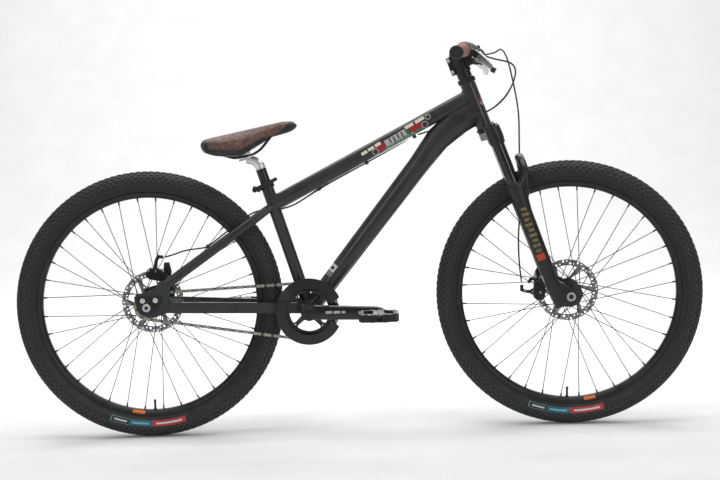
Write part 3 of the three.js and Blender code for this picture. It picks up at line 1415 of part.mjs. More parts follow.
function makeHub({ flangeRadius, flangePlace, barrelRadius: barrelSize, axleRadius, hubHalf, rotorPlace }) {
  const hole = bore(axleRadius, hubSides);
  const half = hubFlange / 2;
  const flange = (place) => [
    [barrelSize, place - half - hubFillet], [flangeRadius, place - half], [flangeRadius, place + half],
    [barrelSize, place + half + hubFillet],
  ];
  const shell = ring([
    [hole, -hubHalf], [hubEndRadius, -hubHalf], [hubEndRadius, -flangePlace - half - 2 * hubFillet],
    ...flange(-flangePlace),
    ...flange(flangePlace), [hubEndRadius + hubFillet, flangePlace + half + 2 * hubFillet],
    [rotorMountRadius, rotorPlace - rotorMountThickness - clearance],
    [rotorMountRadius, rotorPlace - clearance], [hubEndRadius, rotorPlace - clearance],
    [hubEndRadius, hubHalf], [hole, hubHalf],
  ], hubSides);
  const spokes = [];
  const perSide = spokeCount / 2;
  for (let i = 0; i < spokeCount; i += 1) {
    const side = i % 2 ? 1 : -1;
    const turnStep = 360 / perSide;
    const hubAngle = spokeTurn + Math.floor(i / 2) * turnStep + (side > 0 ? turnStep / 2 : 0);
    const lean = Math.floor(i / 2) % 2 ? 1 : -1;
    const rimAngle = hubAngle + lean * spokeCrossings * turnStep;
    const on = (angle, radius, y) => vec(
      radius * Math.cos(angle * degree), y, radius * Math.sin(angle * degree),
    );
    const root = on(hubAngle, flangeRadius - hubFlangeLip, side * flangePlace + lean * spokeStagger);
    const tip = on(
      rimAngle, rimInnerRadius * Math.cos(Math.PI / spokeCount) - clearance, side * spokeRimOffset,
    );
    spokes.push(wire(root, tip, spokeRadius));
  }
  return join(shell, ...spokes);
}
function makeRotor(place) {
  const inner = rotorRadius - rotorBandWidth;
  const holes = Array.from({ length: rotorHoleCount }, (_, i) => {
    const angle = ((i * 360) / rotorHoleCount) * degree;
    const middle = rotorRadius - rotorBandWidth / 2;
    return arc(middle * Math.cos(angle), middle * Math.sin(angle), rotorHoleRadius, rotorHoleSides);
  });
  const span = 360 / rotorArmCount;
  const windows = Array.from({ length: rotorArmCount }, (_, i) => {
    const start = i * span + (rotorArmShare * span) / 2;
    const end = (i + 1) * span - (rotorArmShare * span) / 2;
    return [
      ...arc(0, 0, inner, windowSteps, start, end),
      ...arc(0, 0, rotorHubRadius, windowSteps - 1, start - rotorArmLean, end - rotorArmLean).reverse(),
    ];
  });
  return plate(
    arc(0, 0, rotorRadius, rotorHoleCount),
    [...holes, ...windows, arc(0, 0, bore(hubEndRadius, hubSides) + smallChamfer, hubSides)],
    place, place + rotorThickness,
  );
}
function makeWheel(name, hub, group, valveAngle) {
  piece(`${name}_tyre`, makeTyre(), tyreRubber, group);
  piece(`${name}_rim`, makeRim(), satinBlack, group);
  piece(`${name}_hub_and_spokes`, makeHub(hub), satinBlack, group);
  piece(`${name}_rotor`, makeRotor(hub.rotorPlace), brushed, group);
  const way = vec(Math.sin(valveAngle * degree), 0, -Math.cos(valveAngle * degree));
  const outer = way.clone().multiplyScalar(rimInnerRadius * Math.cos(Math.PI / spokeCount) - clearance);
  piece(
    `${name}_valve`,
    rod(
      outer, outer.clone().addScaledVector(way, -valveLength), valveRadius, smallSides,
      valveRadius * valveTipShare,
    ),
    satinBlack, group,
  );
}
const rearWheel = new THREE.Group();
rearWheel.position.copy(rearAxle);
bike.add(rearWheel);
makeWheel('rear', {
  flangeRadius: rearFlangeRadius, flangePlace: rearFlangePlace, barrelRadius: rearBarrelRadius,
  axleRadius: rearAxleRadius,
  hubHalf: dropoutInside - clearance, rotorPlace: rearRotorPlace,
}, rearWheel, rearValveAngle);
const frontWheel = new THREE.Group();
frontWheel.position.set(forkOffset, 0, 0);
frontWheel.rotation.y = (90 - headTubeAngle) * degree;
steering.add(frontWheel);
makeWheel('front', {
  flangeRadius: frontFlangeRadius, flangePlace: frontFlangePlace, barrelRadius: frontBarrelRadius,
  axleRadius: frontAxleRadius,
  hubHalf: lugInside - clearance, rotorPlace: frontRotorPlace,
}, frontWheel, frontValveAngle);

// Toothed wheels
const pitchRadius = (teeth) => chainPitch / 2 / Math.sin(Math.PI / teeth);
function toothedOutline(teeth) {
  const radius = pitchRadius(teeth);
  const step = 360 / teeth;
  return Array.from({ length: teeth }, (_, i) => {
    const at = (share, r) => [
      r * Math.cos((i + share) * step * degree), r * Math.sin((i + share) * step * degree),
    ];
    return [
      at(0, radius - toothBelowPitch), at(toothRootShare, radius + toothAbovePitch),
      at(1 - toothRootShare, radius + toothAbovePitch),
    ];
  }).flat();
}
const toothFace = [-chainLine - toothThickness / 2, -chainLine + toothThickness / 2];

// Freewheel cog on the rear hub
const cogBore = bore(hubEndRadius, hubSides);
piece('rear_cog', join(
  cut(
    plate(toothedOutline(cogTeeth), [], ...toothFace),
    rod(vec(0, -2 * chainLine, 0), vec(0, 0, 0), cogBore + smallChamfer, hubSides),
  ),
  ring([
    [cogBore, -chainLine - freewheelHalf], [freewheelRadius, -chainLine - freewheelHalf + smallChamfer],
    [freewheelRadius, -chainLine + freewheelHalf], [cogBore, -chainLine + freewheelHalf],
  ], hubSides),
), brushed, rearWheel);

// Chain: rings of alternate width and height round a closed path, slotted where teeth stand in it
function makeChain() {
  const ringRadius = pitchRadius(chainringTeeth);
  const cogRadius = pitchRadius(cogTeeth);
  const span = shellCentre.clone().sub(rearAxle);
  const lean = Math.atan2(span.z, span.x);
  const spread = Math.asin((ringRadius - cogRadius) / span.length());
  const straight = span.length() * Math.cos(spread);
  const frontWrap = ringRadius * (Math.PI + 2 * spread);
  const rearWrap = cogRadius * (Math.PI - 2 * spread);
  const whole = 2 * straight + frontWrap + rearWrap;
  const links = 2 * Math.round(whole / chainPitch / 2);
  const round = (centre, radius, angle) => ({
    place: vec(centre.x + radius * Math.cos(angle), -chainLine, centre.z + radius * Math.sin(angle)), angle,
  });
  // Starts on top of the chainring, runs over its front, back along the lower run, round the cog and home
  const topAngle = lean + Math.PI / 2 + spread;
  const lowAngle = lean - Math.PI / 2 - spread;
  function along(distance) {
    const d = ((distance % whole) + whole) % whole;
    if (d < frontWrap) return round(shellCentre, ringRadius, topAngle - d / ringRadius);
    if (d < frontWrap + straight) {
      const [a, b] = [round(shellCentre, ringRadius, lowAngle), round(rearAxle, cogRadius, lowAngle)];
      return { place: a.place.lerp(b.place, (d - frontWrap) / straight), angle: lowAngle };
    }
    if (d < frontWrap + straight + rearWrap) return round(
      rearAxle, cogRadius, lowAngle - (d - frontWrap - straight) / cogRadius,
    );
    const [a, b] = [round(rearAxle, cogRadius, topAngle), round(shellCentre, ringRadius, topAngle)];
    return {
      place: a.place.lerp(b.place, (d - frontWrap - straight - rearWrap) / straight), angle: topAngle,
    };
  }
  const rings = [];
  for (let i = 0; i < links; i += 1) {
    const outerLink = i % 2 === 0;
    const half = (outerLink ? chainOuterWidth : chainInnerWidth) / 2;
    const tall = (outerLink ? chainOuterTall : chainInnerTall) / 2;
    for (const share of chainLinkShares) {
      const { place, angle } = along(((i + share) * whole) / links);
      const out = vec(Math.cos(angle), 0, Math.sin(angle));
      rings.push([[-half, tall], [half, tall], [half, -tall], [-half, -tall]].map(([y, h]) => (
        place.clone().addScaledVector(out, h).add(vec(0, y, 0)))));
    }
  }
  const slots = [[shellCentre, ringRadius], [rearAxle, cogRadius]].map(([centre, radius]) => rod(
    centre.clone().setY(-chainLine - chainSlot / 2), centre.clone().setY(-chainLine + chainSlot / 2),
    radius + toothAbovePitch + 2 * clearance, chainringTeeth,
  ));
  return cut(loft(rings, true), ...slots);
}
piece('chain', makeChain(), chainMetal, bike);

// Cranks turn about the bottom bracket
const cranks = new THREE.Group();
cranks.position.copy(shellCentre);
cranks.rotation.y = crankDrop * degree;
bike.add(cranks);
const bossFace = shellWidth / 2 + cupFlange + 2 * clearance;

function makeArm(side) {
  const way = -side; // the right arm points forward, the left one back
  const arm = taperedTube(armShares.map(([along, offset, wide, tall]) => [
    vec(way * crankLength * along, side * (armRootOffset + (armEndOffset - armRootOffset) * offset), 0),
    (armThickness / 2) * wide, armRootHalf * tall,
  ]), roundSides, alongY, squareness);
  const boss = rod(
    vec(0, side * bossFace, 0), vec(0, side * (armRootOffset + armThickness / 2), 0), bossRadius, roundSides,
  );
  const axleFoot = vec(way * crankLength, side * (armEndOffset - armThickness / 2), 0);
  const axle = rod(
    axleFoot, axleFoot.clone().setY(side * (armEndOffset + pedalAxleLength)), pedalAxleRadius, pedalSides,
  );
  const hole = rod(
    vec(0, 0, 0), vec(0, side * armRootOffset, 0), bore(spindleRadius, roundSides), roundSides,
  );
  return cut(join(arm, boss, axle), hole);
}
const tabOut = spiderBoltCircle / 2;
const spiderFace = [
  -chainLine - toothThickness / 2 - clearance - spiderThickness, -chainLine - toothThickness / 2 - clearance,
];
const tabPlaces = Array.from({ length: spiderCount }, (_, i) => {
  const angle = (45 + (i * 360) / spiderCount) * degree;
  return [tabOut * Math.cos(angle), tabOut * Math.sin(angle), angle];
});
function makeSpider() {
  const arms = tabPlaces.map(([x, z, angle]) => {
    const [sx, sz] = [(-Math.sin(angle) * spiderArmWidth) / 2, (Math.cos(angle) * spiderArmWidth) / 2];
    const [tx, tz] = [sx * spiderTipShare, sz * spiderTipShare];
    return plate([[-sx, -sz], [x - tx, z - tz], [x + tx, z + tz], [sx, sz]], [], ...spiderFace);
  });
  const ribs = tabPlaces.map(([x, z]) => taperedTube([
    [vec(0, -armRootOffset + ribRootDepth, 0), spiderArmWidth * ribShares[0], ribRootDepth],
    [
      vec(x * ribShares[1], spiderFace[0] + ribTipDepth, z * ribShares[1]), spiderArmWidth * ribShares[2],
      ribTipDepth,
    ],
  ], boxSides, vec(-z, 0, x).normalize()));
  const tabs = tabPlaces.map(([x, z]) => rod(
    vec(x, spiderFace[0], z), vec(x, spiderFace[1], z), spiderTabRadius, boltSides,
  ));
  return join(...arms, ...ribs, ...tabs);
}
const spindleHole = rod(vec(0, 0, 0), vec(0, -armRootOffset, 0), bore(spindleRadius, roundSides), roundSides);
const boltHoles = tabPlaces.map(([x, z]) => rod(
  vec(x, -2 * chainLine, z), vec(x, 0, z), chainringShankRadius + clearance, smallSides,
));
piece('crank_arm_right', cut(join(makeArm(-1), makeSpider()), spindleHole, ...boltHoles), glossBlack, cranks);
piece('crank_arm_left', makeArm(1), glossBlack, cranks);
const spindleEnd = armRootOffset - clearance;
piece(
  'crank_spindle', rod(vec(0, -spindleEnd, 0), vec(0, spindleEnd, 0), spindleRadius, roundSides), brushed,
  cranks,
);

const ringLobes = tabPlaces.map(([x, z]) => rod(
  vec(x, toothFace[0], z), vec(x, toothFace[1], z), spiderTabRadius, boltSides,
));
piece('chainring', cut(
  join(
    plate(toothedOutline(chainringTeeth), [arc(0, 0, chainringInnerRadius, ringSides)], ...toothFace),
    ...ringLobes,
  ), ...boltHoles,
), satinBlack, cranks);

// Guard ring outside the chainring, cut back behind the arm, with its four bolts
const guardFace = [spiderFace[0] - clearance - guardThickness, spiderFace[0] - clearance];
function makeGuard() {
  const outline = [
    ...arc(0, 0, guardRadius, ringSides, guardNotch + guardNotchSlope, 360 - guardNotch - guardNotchSlope),
    ...arc(0, 0, guardRadius * guardNotchShare, notchSteps, -guardNotch, guardNotch),
  ];
  const body = plate(outline, [arc(0, 0, guardInnerRadius, ringSides)], ...guardFace);
  const lobes = tabPlaces.map(([x, z]) => rod(
    vec(x, guardFace[0], z), vec(x, guardFace[1], z), spiderTabRadius + guardLobeEdge, boltSides,
  ));
  const bolts = tabPlaces.flatMap(([x, z]) => [
    rod(
      vec(x, guardFace[0] - chainringBoltHeight, z), vec(x, guardFace[1], z),
      chainringBoltRadius + smallChamfer, cableSides,
    ),
    rod(
      vec(x, guardFace[1] - smallChamfer, z), vec(x, toothFace[1] + smallChamfer, z),
      chainringShankRadius - 2 * clearance, cableSides,
    ),
  ]);
  return join(body, ...lobes, ...bolts);
}
piece('bash_guard', makeGuard(), glossBlack, cranks);

// Platform pedals turn on the arms' axles
for (const [name, side] of [['right', -1], ['left', 1]]) {
  const foot = armEndOffset + armThickness / 2 + pedalGap;
  const pedal = new THREE.Group();
  pedal.position.set(-side * crankLength, side * (foot + pedalWidth / 2), 0);
  pedal.rotation.y = -crankDrop * degree;
  cranks.add(pedal);
  const [halfX, halfY] = [pedalLength / 2, pedalWidth / 2];
  const outline = pedalOutlineShares.map(([x, y]) => [x * halfX, y * halfY]);
  const windowNear = pedalBarrelRadius + pedalWeb;
  const window = (way) => [
    [way * windowNear, -halfY + pedalRail],
    [way * (halfX - pedalRail), -halfY + pedalRail * pedalCornerShare],
    [way * (halfX - pedalRail), halfY - pedalRail * pedalCornerShare], [way * windowNear, halfY - pedalRail],
  ];
  const cage = slab(outline, [window(1), window(-1).reverse()], -pedalThickness / 2, pedalThickness / 2);
  const barrel = rod(vec(0, -halfY, 0), vec(0, halfY, 0), pedalBarrelRadius, pedalSides);
  const hole = rod(
    vec(0, -halfY - overrun, 0), vec(0, halfY + overrun, 0), bore(pedalAxleRadius, pedalSides), pedalSides,
  );
  piece(`pedal_${name}`, cut(join(cage, barrel), hole), satinBlack, pedal);
}

// Brake cables: fixed lengths on the frame and on the lowers, and a free loop from each lever
steering.updateMatrix();
const fromSteering = (place) => place.clone().applyMatrix4(steering.matrix);
const firstGuide = guidePlace(guideShares[2]);
const loopEnd = firstGuide.clone().addScaledVector(topTubeWay, guideLength);
const rearRunEnd = rearBrake.cableEnd.clone().addScaledVector(rearBrake.tangent, 4 * clearance);
const rearRunStart = stayGuide.clone().addScaledVector(stayWay, -guideLength / 2);
const rearCablePlaces = [
  loopEnd.clone().addScaledVector(topTubeWay, -4 * clearance),
  ...[...guideShares].reverse().flatMap((share) => [guideLength / 2, -guideLength / 2]
    .map((off) => guidePlace(share).addScaledVector(topTubeWay, off))),
  ...cableAtSeatTubeShares.map(([along, back, across]) => onSeatTube(
    topTubeJoinOnSeatTube + along * cableBow, back * cableBow, across * cableBow,
  )),
  ...cableOnStayShares.map(([along, above]) => seatstayPlace(along, 1).addScaledVector(
    stayOver, seatstayTall * above,
  )),
  stayGuide.clone().addScaledVector(stayWay, guideLength / 2), rearRunStart,
  ...cableAtDropoutShares.map(([along, drop]) => rearRunStart.clone().lerp(rearRunEnd, along).add(vec(
    0, 0, -drop * cableBow,
  ))),
  rearRunEnd,
];
piece('rear_brake_cable', cable(rearCablePlaces, cableSteps), satinBlack, bike);

const barrelEnd = ({ at }) => at(-perchWidth / 2 - barrelLength - 2 * clearance, barrelReach);
const [rightLever, leftLever] = leverSides.map(([, place]) => place);
const leaveLever = ({ out, at }) => at(-perchWidth / 2 - barrelLength - guideLength, barrelReach);
const bow = (shares) => shares.map(([
  x, y, z,
]) => headTubeTop.clone().add(vec(x, y, z).multiplyScalar(cableBow)));
piece('rear_brake_cable_loop', cable([
  fromSteering(barrelEnd(rightLever)), fromSteering(leaveLever(rightLever)), ...bow(rearBowShares), loopEnd,
], cableSteps), satinBlack, bike);
const clipTop = archClip.clone().add(vec(0, 0, guideLength + clearance));
piece('front_brake_cable_loop', cable([
  fromSteering(barrelEnd(leftLever)), fromSteering(leaveLever(leftLever)), ...bow(frontBowShares),
  fromSteering(clipTop.clone().add(vec(0, 0, 2 * overrun))), fromSteering(clipTop),
], cableSteps), satinBlack, bike);
const clipFoot = archClip.clone().add(vec(0, 0, -2 * overrun));
const frontRunEnd = frontBrake.cableEnd.clone().addScaledVector(frontBrake.tangent, 4 * clearance);
const frontCablePlaces = [
  archClip.clone().add(vec(0, 0, guideLength)), archClip, clipFoot,
  ...frontRunShares.map(([along, ahead, aside]) => (
    clipFoot.clone().lerp(frontRunEnd, along).add(vec(ahead * cableBow, aside * cableBow, 0)))),
  frontRunEnd,
];
piece('front_brake_cable', cable(frontCablePlaces, cableSteps), satinBlack, steering);

export default bike;
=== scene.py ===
# %% [markdown]
# # A dirt jump bike, finished for the camera
# The CAD model brings every part of the bike in its true place and size. This lesson keeps that skeleton
# and models over it what a rider would see up close: knobbed tyres, round spokes, a chain of real links,
# ribbed grips, a padded saddle, rounded edges and worn, dusty finishes. Each piece rides on the body
# that carries it, so wheels, fork, cranks and levers still move.

# %% Load the bike's frame of parts
import json
import math

import bmesh
import bpy
import numpy as np
from mathutils import Matrix, Quaternion, Vector, bvhtree


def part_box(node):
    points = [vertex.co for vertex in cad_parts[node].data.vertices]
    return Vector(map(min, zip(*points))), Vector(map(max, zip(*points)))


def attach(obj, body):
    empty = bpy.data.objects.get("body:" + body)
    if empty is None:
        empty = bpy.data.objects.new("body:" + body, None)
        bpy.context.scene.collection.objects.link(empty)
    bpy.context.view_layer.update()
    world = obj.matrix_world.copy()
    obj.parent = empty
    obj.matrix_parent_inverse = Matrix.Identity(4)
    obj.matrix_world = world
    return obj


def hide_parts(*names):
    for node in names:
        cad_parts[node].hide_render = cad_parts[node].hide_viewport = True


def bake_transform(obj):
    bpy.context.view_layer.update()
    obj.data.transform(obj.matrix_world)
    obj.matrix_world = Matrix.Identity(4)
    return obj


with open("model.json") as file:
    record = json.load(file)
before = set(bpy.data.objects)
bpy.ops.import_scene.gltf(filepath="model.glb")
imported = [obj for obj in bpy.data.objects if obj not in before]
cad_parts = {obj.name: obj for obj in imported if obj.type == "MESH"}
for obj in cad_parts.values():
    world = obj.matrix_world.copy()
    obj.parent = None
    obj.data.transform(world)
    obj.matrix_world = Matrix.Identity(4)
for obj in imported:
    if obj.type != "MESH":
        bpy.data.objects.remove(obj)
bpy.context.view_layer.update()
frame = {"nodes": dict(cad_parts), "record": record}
slot_of = {name: node.material_slots[0].material.name for name, node in frame["nodes"].items()}
body_of = {
    node: body
    for body, members in frame["record"]["behaviour"]["bodies"].items()
    for node in members
}
across_bike = Vector((0, 1, 0))

# %% [markdown]
# ## Camera
# The photograph was taken square to the bike's chain side, a little above the wheels, with a long lens.
# The camera leans by one and a half degrees, because the ground line of the picture does.


# %% Place the camera
def add_object(name, data):
    """Puts new data into the scene as an object."""
    made = bpy.data.objects.new(name, data)
    bpy.context.scene.collection.objects.link(made)
    return made


eye = Vector((-0.059, -3.558, 0.765))
target = Vector((0.004, 0.0, 0.488))
lean = math.radians(1.54)
camera_data = bpy.data.cameras.new("catalogue_camera")
camera_data.lens = 70
camera_data.sensor_width = 36
camera = add_object("catalogue_camera", camera_data)
camera.location = eye
facing = (target - eye).to_track_quat("-Z", "Y") @ Quaternion((0, 0, 1), -lean)
camera.rotation_euler = facing.to_euler()
bpy.context.scene.camera = camera
print("camera", [round(v, 3) for v in camera.location])

# %% [markdown]
# ## Studio
# A catalogue picture stands on a pale sweep of paper that curves up into the wall, so no horizon shows.
# The sweep is a side profile extruded across, with a round bend. The paper gets a faint fibre so that it
# isn't a dead flat grey.

# %% Build the paper sweep
sweep_front, sweep_back, sweep_bend, sweep_height, sweep_half = -9.0, 3.2, 2.4, 6.0, 9.0
below_ground = 0.0005
bend_steps = 16
profile = [(sweep_front, 0.0), (sweep_back, 0.0)]
for step in range(1, bend_steps + 1):
    turn = math.radians(90 * step / bend_steps)
    profile.append((
        sweep_back + sweep_bend * math.sin(turn), sweep_bend * (1 - math.cos(turn))))
profile.append((sweep_back + sweep_bend, sweep_height))
points = [(side * sweep_half, y, z - below_ground) for y, z in profile for side in (-1, 1)]
faces = [(2 * i, 2 * i + 1, 2 * i + 3, 2 * i + 2) for i in range(len(profile) - 1)]
sweep_mesh = bpy.data.meshes.new("paper_sweep")
sweep_mesh.from_pydata(points, [], faces)
sweep_mesh.update()
for face in sweep_mesh.polygons:
    face.use_smooth = True
paper = add_object("paper_sweep", sweep_mesh)
print("sweep with", len(faces), "strips")

# %% [markdown]
# ## Light
# One broad box overhead draws the cool streaks along the tops of the tubes. Two tall boxes beside the
# camera keep the black parts readable, one behind parts the bike from the paper, one lights the wall, and
# a pale sky fills the rest, so shadows stay faint.

# %% Hang the soft boxes
for name, place, size, power, aim in (
    ("overhead_box", (0.0, -0.2, 3.2), (3.6, 1.4), 66, (0.0, 0.0, 0.4)),
    ("left_box", (-2.6, -3.4, 2.0), (0.9, 2.4), 20, (-0.2, 0.0, 0.5)),
    ("right_box", (2.6, -3.2, 2.0), (0.9, 2.4), 24, (0.2, 0.0, 0.5)),
    ("rear_box", (0.0, 2.4, 2.8), (3.4, 0.8), 26, (0.0, 0.0, 0.6)),
    ("wall_box", (0.0, 1.6, 3.6), (5.0, 1.2), 150, (0.0, 5.0, 1.2)),
):
    data = bpy.data.lights.new(name, "AREA")
    data.shape = "RECTANGLE"
    data.size, data.size_y = size
    data.energy = power
    lamp = add_object(name, data)
    lamp.location = place
    lamp.rotation_euler = (Vector(aim) - Vector(place)).to_track_quat("-Z", "Y").to_euler()
world = bpy.data.worlds.new("pale_studio")
bpy.context.scene.world = world
world.use_nodes = True
sky = world.node_tree.nodes["Background"]
sky.inputs["Color"].default_value = (1.0, 0.995, 0.985, 1)
sky.inputs["Strength"].default_value = 0.32
bpy.context.scene.view_settings.view_transform = "Standard"

# %% [markdown]
# ## Shared effects
# Paint, anodising, rubber and bare metal look different, but they age in the same few ways: the grain
# varies, edges rub bright, dust settles on what faces up. Each effect is built once as a node group and
# then wired into every finish with its own amounts. Blocks and rings of print are groups as well.


# %% Tools for node groups
def feed(tree, node, values):
    """Sets a node's inputs, each from a socket or a plain value."""
    for label, value in values:
        if isinstance(value, bpy.types.NodeSocket):
            tree.links.new(value, node.inputs[label])
        else:
            node.inputs[label].default_value = value


def new_group(name, *outputs, **inputs):
    """A shader node group that reads a vector and plain values, with the sockets of both ends."""
    group = bpy.data.node_groups.new(name, "ShaderNodeTree")
    for label, value in {"Vector": None, **inputs}.items():
        kind = "NodeSocketVector" if value is None else "NodeSocketFloat"
        socket = group.interface.new_socket(
            name=label.replace("_", " "), in_out="INPUT", socket_type=kind)
        if value is not None:
            socket.default_value = value
    for label in outputs or ("Mask",):
        group.interface.new_socket(name=label, in_out="OUTPUT", socket_type="NodeSocketFloat")
    given = group.nodes.new("NodeGroupInput").outputs
    return group, given, group.nodes.new("NodeGroupOutput").inputs


def math_node(tree, operation, *values, clamp=False):
    """A Math node's result from sockets or plain numbers."""
    node = tree.nodes.new("ShaderNodeMath")
    node.operation = operation
    node.use_clamp = clamp
    feed(tree, node, enumerate(values))
    return node.outputs[0]


def vector_node(tree, operation, *values):
    """A Vector Math node fed from sockets or plain vectors."""
    node = tree.nodes.new("ShaderNodeVectorMath")
    node.operation = operation
    feed(tree, node, enumerate(values))
    return node


def axes_of(tree, vector):
    """The X, Y and Z of a vector."""
    node = tree.nodes.new("ShaderNodeSeparateXYZ")
    tree.links.new(vector, node.inputs[0])
    return node.outputs


def ramp_node(tree, value, low, high, to_low=0.0, to_high=1.0):
    """Spreads a value between two limits, smoothly and without overshoot."""
    node = tree.nodes.new("ShaderNodeMapRange")
    node.interpolation_type = "SMOOTHSTEP"
    feed(tree, node, (
        ("Value", value), ("From Min", low), ("From Max", high), ("To Min", to_low),
        ("To Max", to_high)))
    return node.outputs["Result"]


def noise_node(tree, vector, scale, detail=4.0, roughness=0.55):
    """A noise texture read at a vector."""
    node = tree.nodes.new("ShaderNodeTexNoise")
    feed(tree, node, (
        ("Vector", vector), ("Scale", scale), ("Detail", detail), ("Roughness", roughness)))
    return node.outputs[0]


def mix_colour(tree, factor, first, second):
    """Blends two colours by a factor."""
    node = tree.nodes.new("ShaderNodeMix")
    node.data_type = "RGBA"
    feed(tree, node, ((0, factor), (mix_first, first), (mix_second, second)))
    return node


# Sockets of a Mix node that hold colours, because its float and vector ones have the same names
mix_first, mix_second, mix_result = 6, 7, 2

# %% Group: surface grain
grain_group, given, result = new_group("Surface grain", "Height", "Patches", Scale=900.0)
fine = noise_node(grain_group, given["Vector"], given["Scale"], 3.0)
broad_scale = math_node(grain_group, "MULTIPLY", given["Scale"], 0.03)
broad = noise_node(grain_group, given["Vector"], broad_scale, 5.0, 0.6)
grain_group.links.new(fine, result["Height"])
grain_group.links.new(ramp_node(grain_group, broad, 0.35, 0.65), result["Patches"])

# %% Group: edge wear
wear_group, given, result = new_group("Edge wear", Reach=0.06)
shape = wear_group.nodes.new("ShaderNodeNewGeometry")
edge_top = math_node(wear_group, "ADD", given["Reach"], 0.62)
edges = ramp_node(wear_group, shape.outputs["Pointiness"], 0.61, edge_top)
chips = ramp_node(wear_group, noise_node(wear_group, given["Vector"], 260.0), 0.42, 0.6)
wear_group.links.new(math_node(wear_group, "MULTIPLY", edges, chips), result["Mask"])

# %% Group: settled dust
dust_group, given, result = new_group("Settled dust", Amount=0.1)
shape = dust_group.nodes.new("ShaderNodeNewGeometry")
upward = ramp_node(dust_group, axes_of(dust_group, shape.outputs["Normal"])["Z"], 0.1, 0.95)
cloud = ramp_node(dust_group, noise_node(dust_group, given["Vector"], 30.0, 6.0), 0.3, 0.75)
laid = math_node(dust_group, "MULTIPLY", upward, cloud)
dust_group.links.new(math_node(dust_group, "MULTIPLY", laid, given["Amount"]), result["Mask"])

# %% Group: printed block
print_softness = 0.0006
block_group, given, result = new_group(
    "Printed block", Place=None, Turn=0.0, Half_length=0.02, Half_height=0.01)
apart = vector_node(block_group, "SUBTRACT", given["Vector"], given["Place"])
turned = block_group.nodes.new("ShaderNodeVectorRotate")
turned.rotation_type = "Y_AXIS"
feed(block_group, turned, (("Vector", apart.outputs[0]), ("Angle", given["Turn"])))
split = axes_of(block_group, turned.outputs[0])
masks = []
for axis, half in (("X", "Half length"), ("Z", "Half height")):
    off = math_node(block_group, "ABSOLUTE", split[axis])
    inner = math_node(block_group, "SUBTRACT", given[half], print_softness)
    masks.append(ramp_node(block_group, off, inner, given[half], 1.0, 0.0))
block_group.links.new(math_node(block_group, "MULTIPLY", *masks), result["Mask"])

# %% Group: block on a wheel
round_group, given, result = new_group(
    "Block on a wheel", Place=None, From_angle=0.0, To_angle=0.1, Inner=0.29, Outer=0.31)
apart = vector_node(round_group, "SUBTRACT", given["Vector"], given["Place"])
split = axes_of(round_group, apart.outputs[0])
down = math_node(round_group, "MULTIPLY", split["Z"], -1.0)
angle = math_node(round_group, "ARCTAN2", split["X"], down)
squares = [math_node(round_group, "MULTIPLY", value, value) for value in (down, split["X"])]
reach = math_node(round_group, "SQRT", math_node(round_group, "ADD", *squares))
inside = [
    math_node(round_group, operation, value, given[limit]) for operation, value, limit in (
        ("GREATER_THAN", angle, "From angle"), ("LESS_THAN", angle, "To angle"),
        ("GREATER_THAN", reach, "Inner"), ("LESS_THAN", reach, "Outer"))
]
both = math_node(round_group, "MULTIPLY", inside[0], inside[1])
ring = math_node(round_group, "MULTIPLY", inside[2], inside[3])
round_group.links.new(math_node(round_group, "MULTIPLY", both, ring), result["Mask"])

# %% Group: printed ring
ring_group, given, result = new_group("Printed ring", Place=None, Radius=0.006, Half_width=0.001)
apart = vector_node(ring_group, "SUBTRACT", given["Vector"], given["Place"])
flat = vector_node(ring_group, "MULTIPLY", apart.outputs[0], (1, 0, 1))
size = vector_node(ring_group, "LENGTH", flat.outputs[0]).outputs["Value"]
off = math_node(
    ring_group, "ABSOLUTE", math_node(ring_group, "SUBTRACT", size, given["Radius"]))
ring_group.links.new(
    math_node(ring_group, "LESS_THAN", off, given["Half width"]), result["Mask"])
print("groups:", ", ".join(group.name for group in bpy.data.node_groups))

# %% [markdown]
# ## Finishes
# Every finish is one material: two close colours broken up in patches, a roughness that varies with them,
# a fine bump, rubbed edges and a little dust. Marks are laid between the rubbed edges and the dust, as
# printed graphics are.

# %% Tools that make and mark a finish
finishes = {}
dust_colour = (0.42, 0.39, 0.35, 1)
bump_depth = 0.0004


def object_place(tree):
    """The place of a point in its piece."""
    return tree.nodes.new("ShaderNodeTexCoord").outputs["Object"]


def use_group(tree, group, vector, **values):
    """Puts a group into a material and sets its plain inputs."""
    node = tree.nodes.new("ShaderNodeGroup")
    node.node_tree = group
    feed(tree, node, [("Vector", vector)] + [
        (label.replace("_", " "), value) for label, value in values.items()])
    return node.outputs


def make_finish(
    name, colour, second, rough=(0.35, 0.5), metal=0.0, grain=900.0, depth=0.15,
    worn=(0.3, 0.3, 0.3), wear=0.3, dust=0.12, coat=0.0, shine=0.5,
):
    """A procedural finish with patches, bump, worn edges and dust."""
    material = bpy.data.materials.new(name)
    material.use_nodes = True
    tree = material.node_tree
    shader = tree.nodes["Principled BSDF"]
    place = object_place(tree)
    surface = use_group(tree, grain_group, place, Scale=grain)
    wearing = use_group(tree, wear_group, place, Reach=0.08)["Mask"]
    dusty = use_group(tree, dust_group, place, Amount=dust)["Mask"]
    base = mix_colour(tree, surface["Patches"], (*colour, 1), (*second, 1))
    wear_share = math_node(tree, "MULTIPLY", wearing, wear)
    rubbed = mix_colour(tree, wear_share, base.outputs[mix_result], (*worn, 1))
    top = mix_colour(tree, dusty, rubbed.outputs[mix_result], dust_colour)
    top.name = "Dust over all"
    spread = ramp_node(tree, surface["Patches"], 0.0, 1.0, *rough)
    duller = math_node(tree, "ADD", spread, dusty, clamp=True)
    bump = tree.nodes.new("ShaderNodeBump")
    feed(tree, bump, (
        ("Strength", depth), ("Distance", bump_depth), ("Height", surface["Height"])))
    feed(tree, shader, (
        ("Base Color", top.outputs[mix_result]), ("Roughness", duller),
        ("Normal", bump.outputs["Normal"]), ("Metallic", metal), ("Specular IOR Level", shine),
        ("Coat Weight", coat), ("Coat Roughness", 0.12)))
    finishes[name] = material
    return material


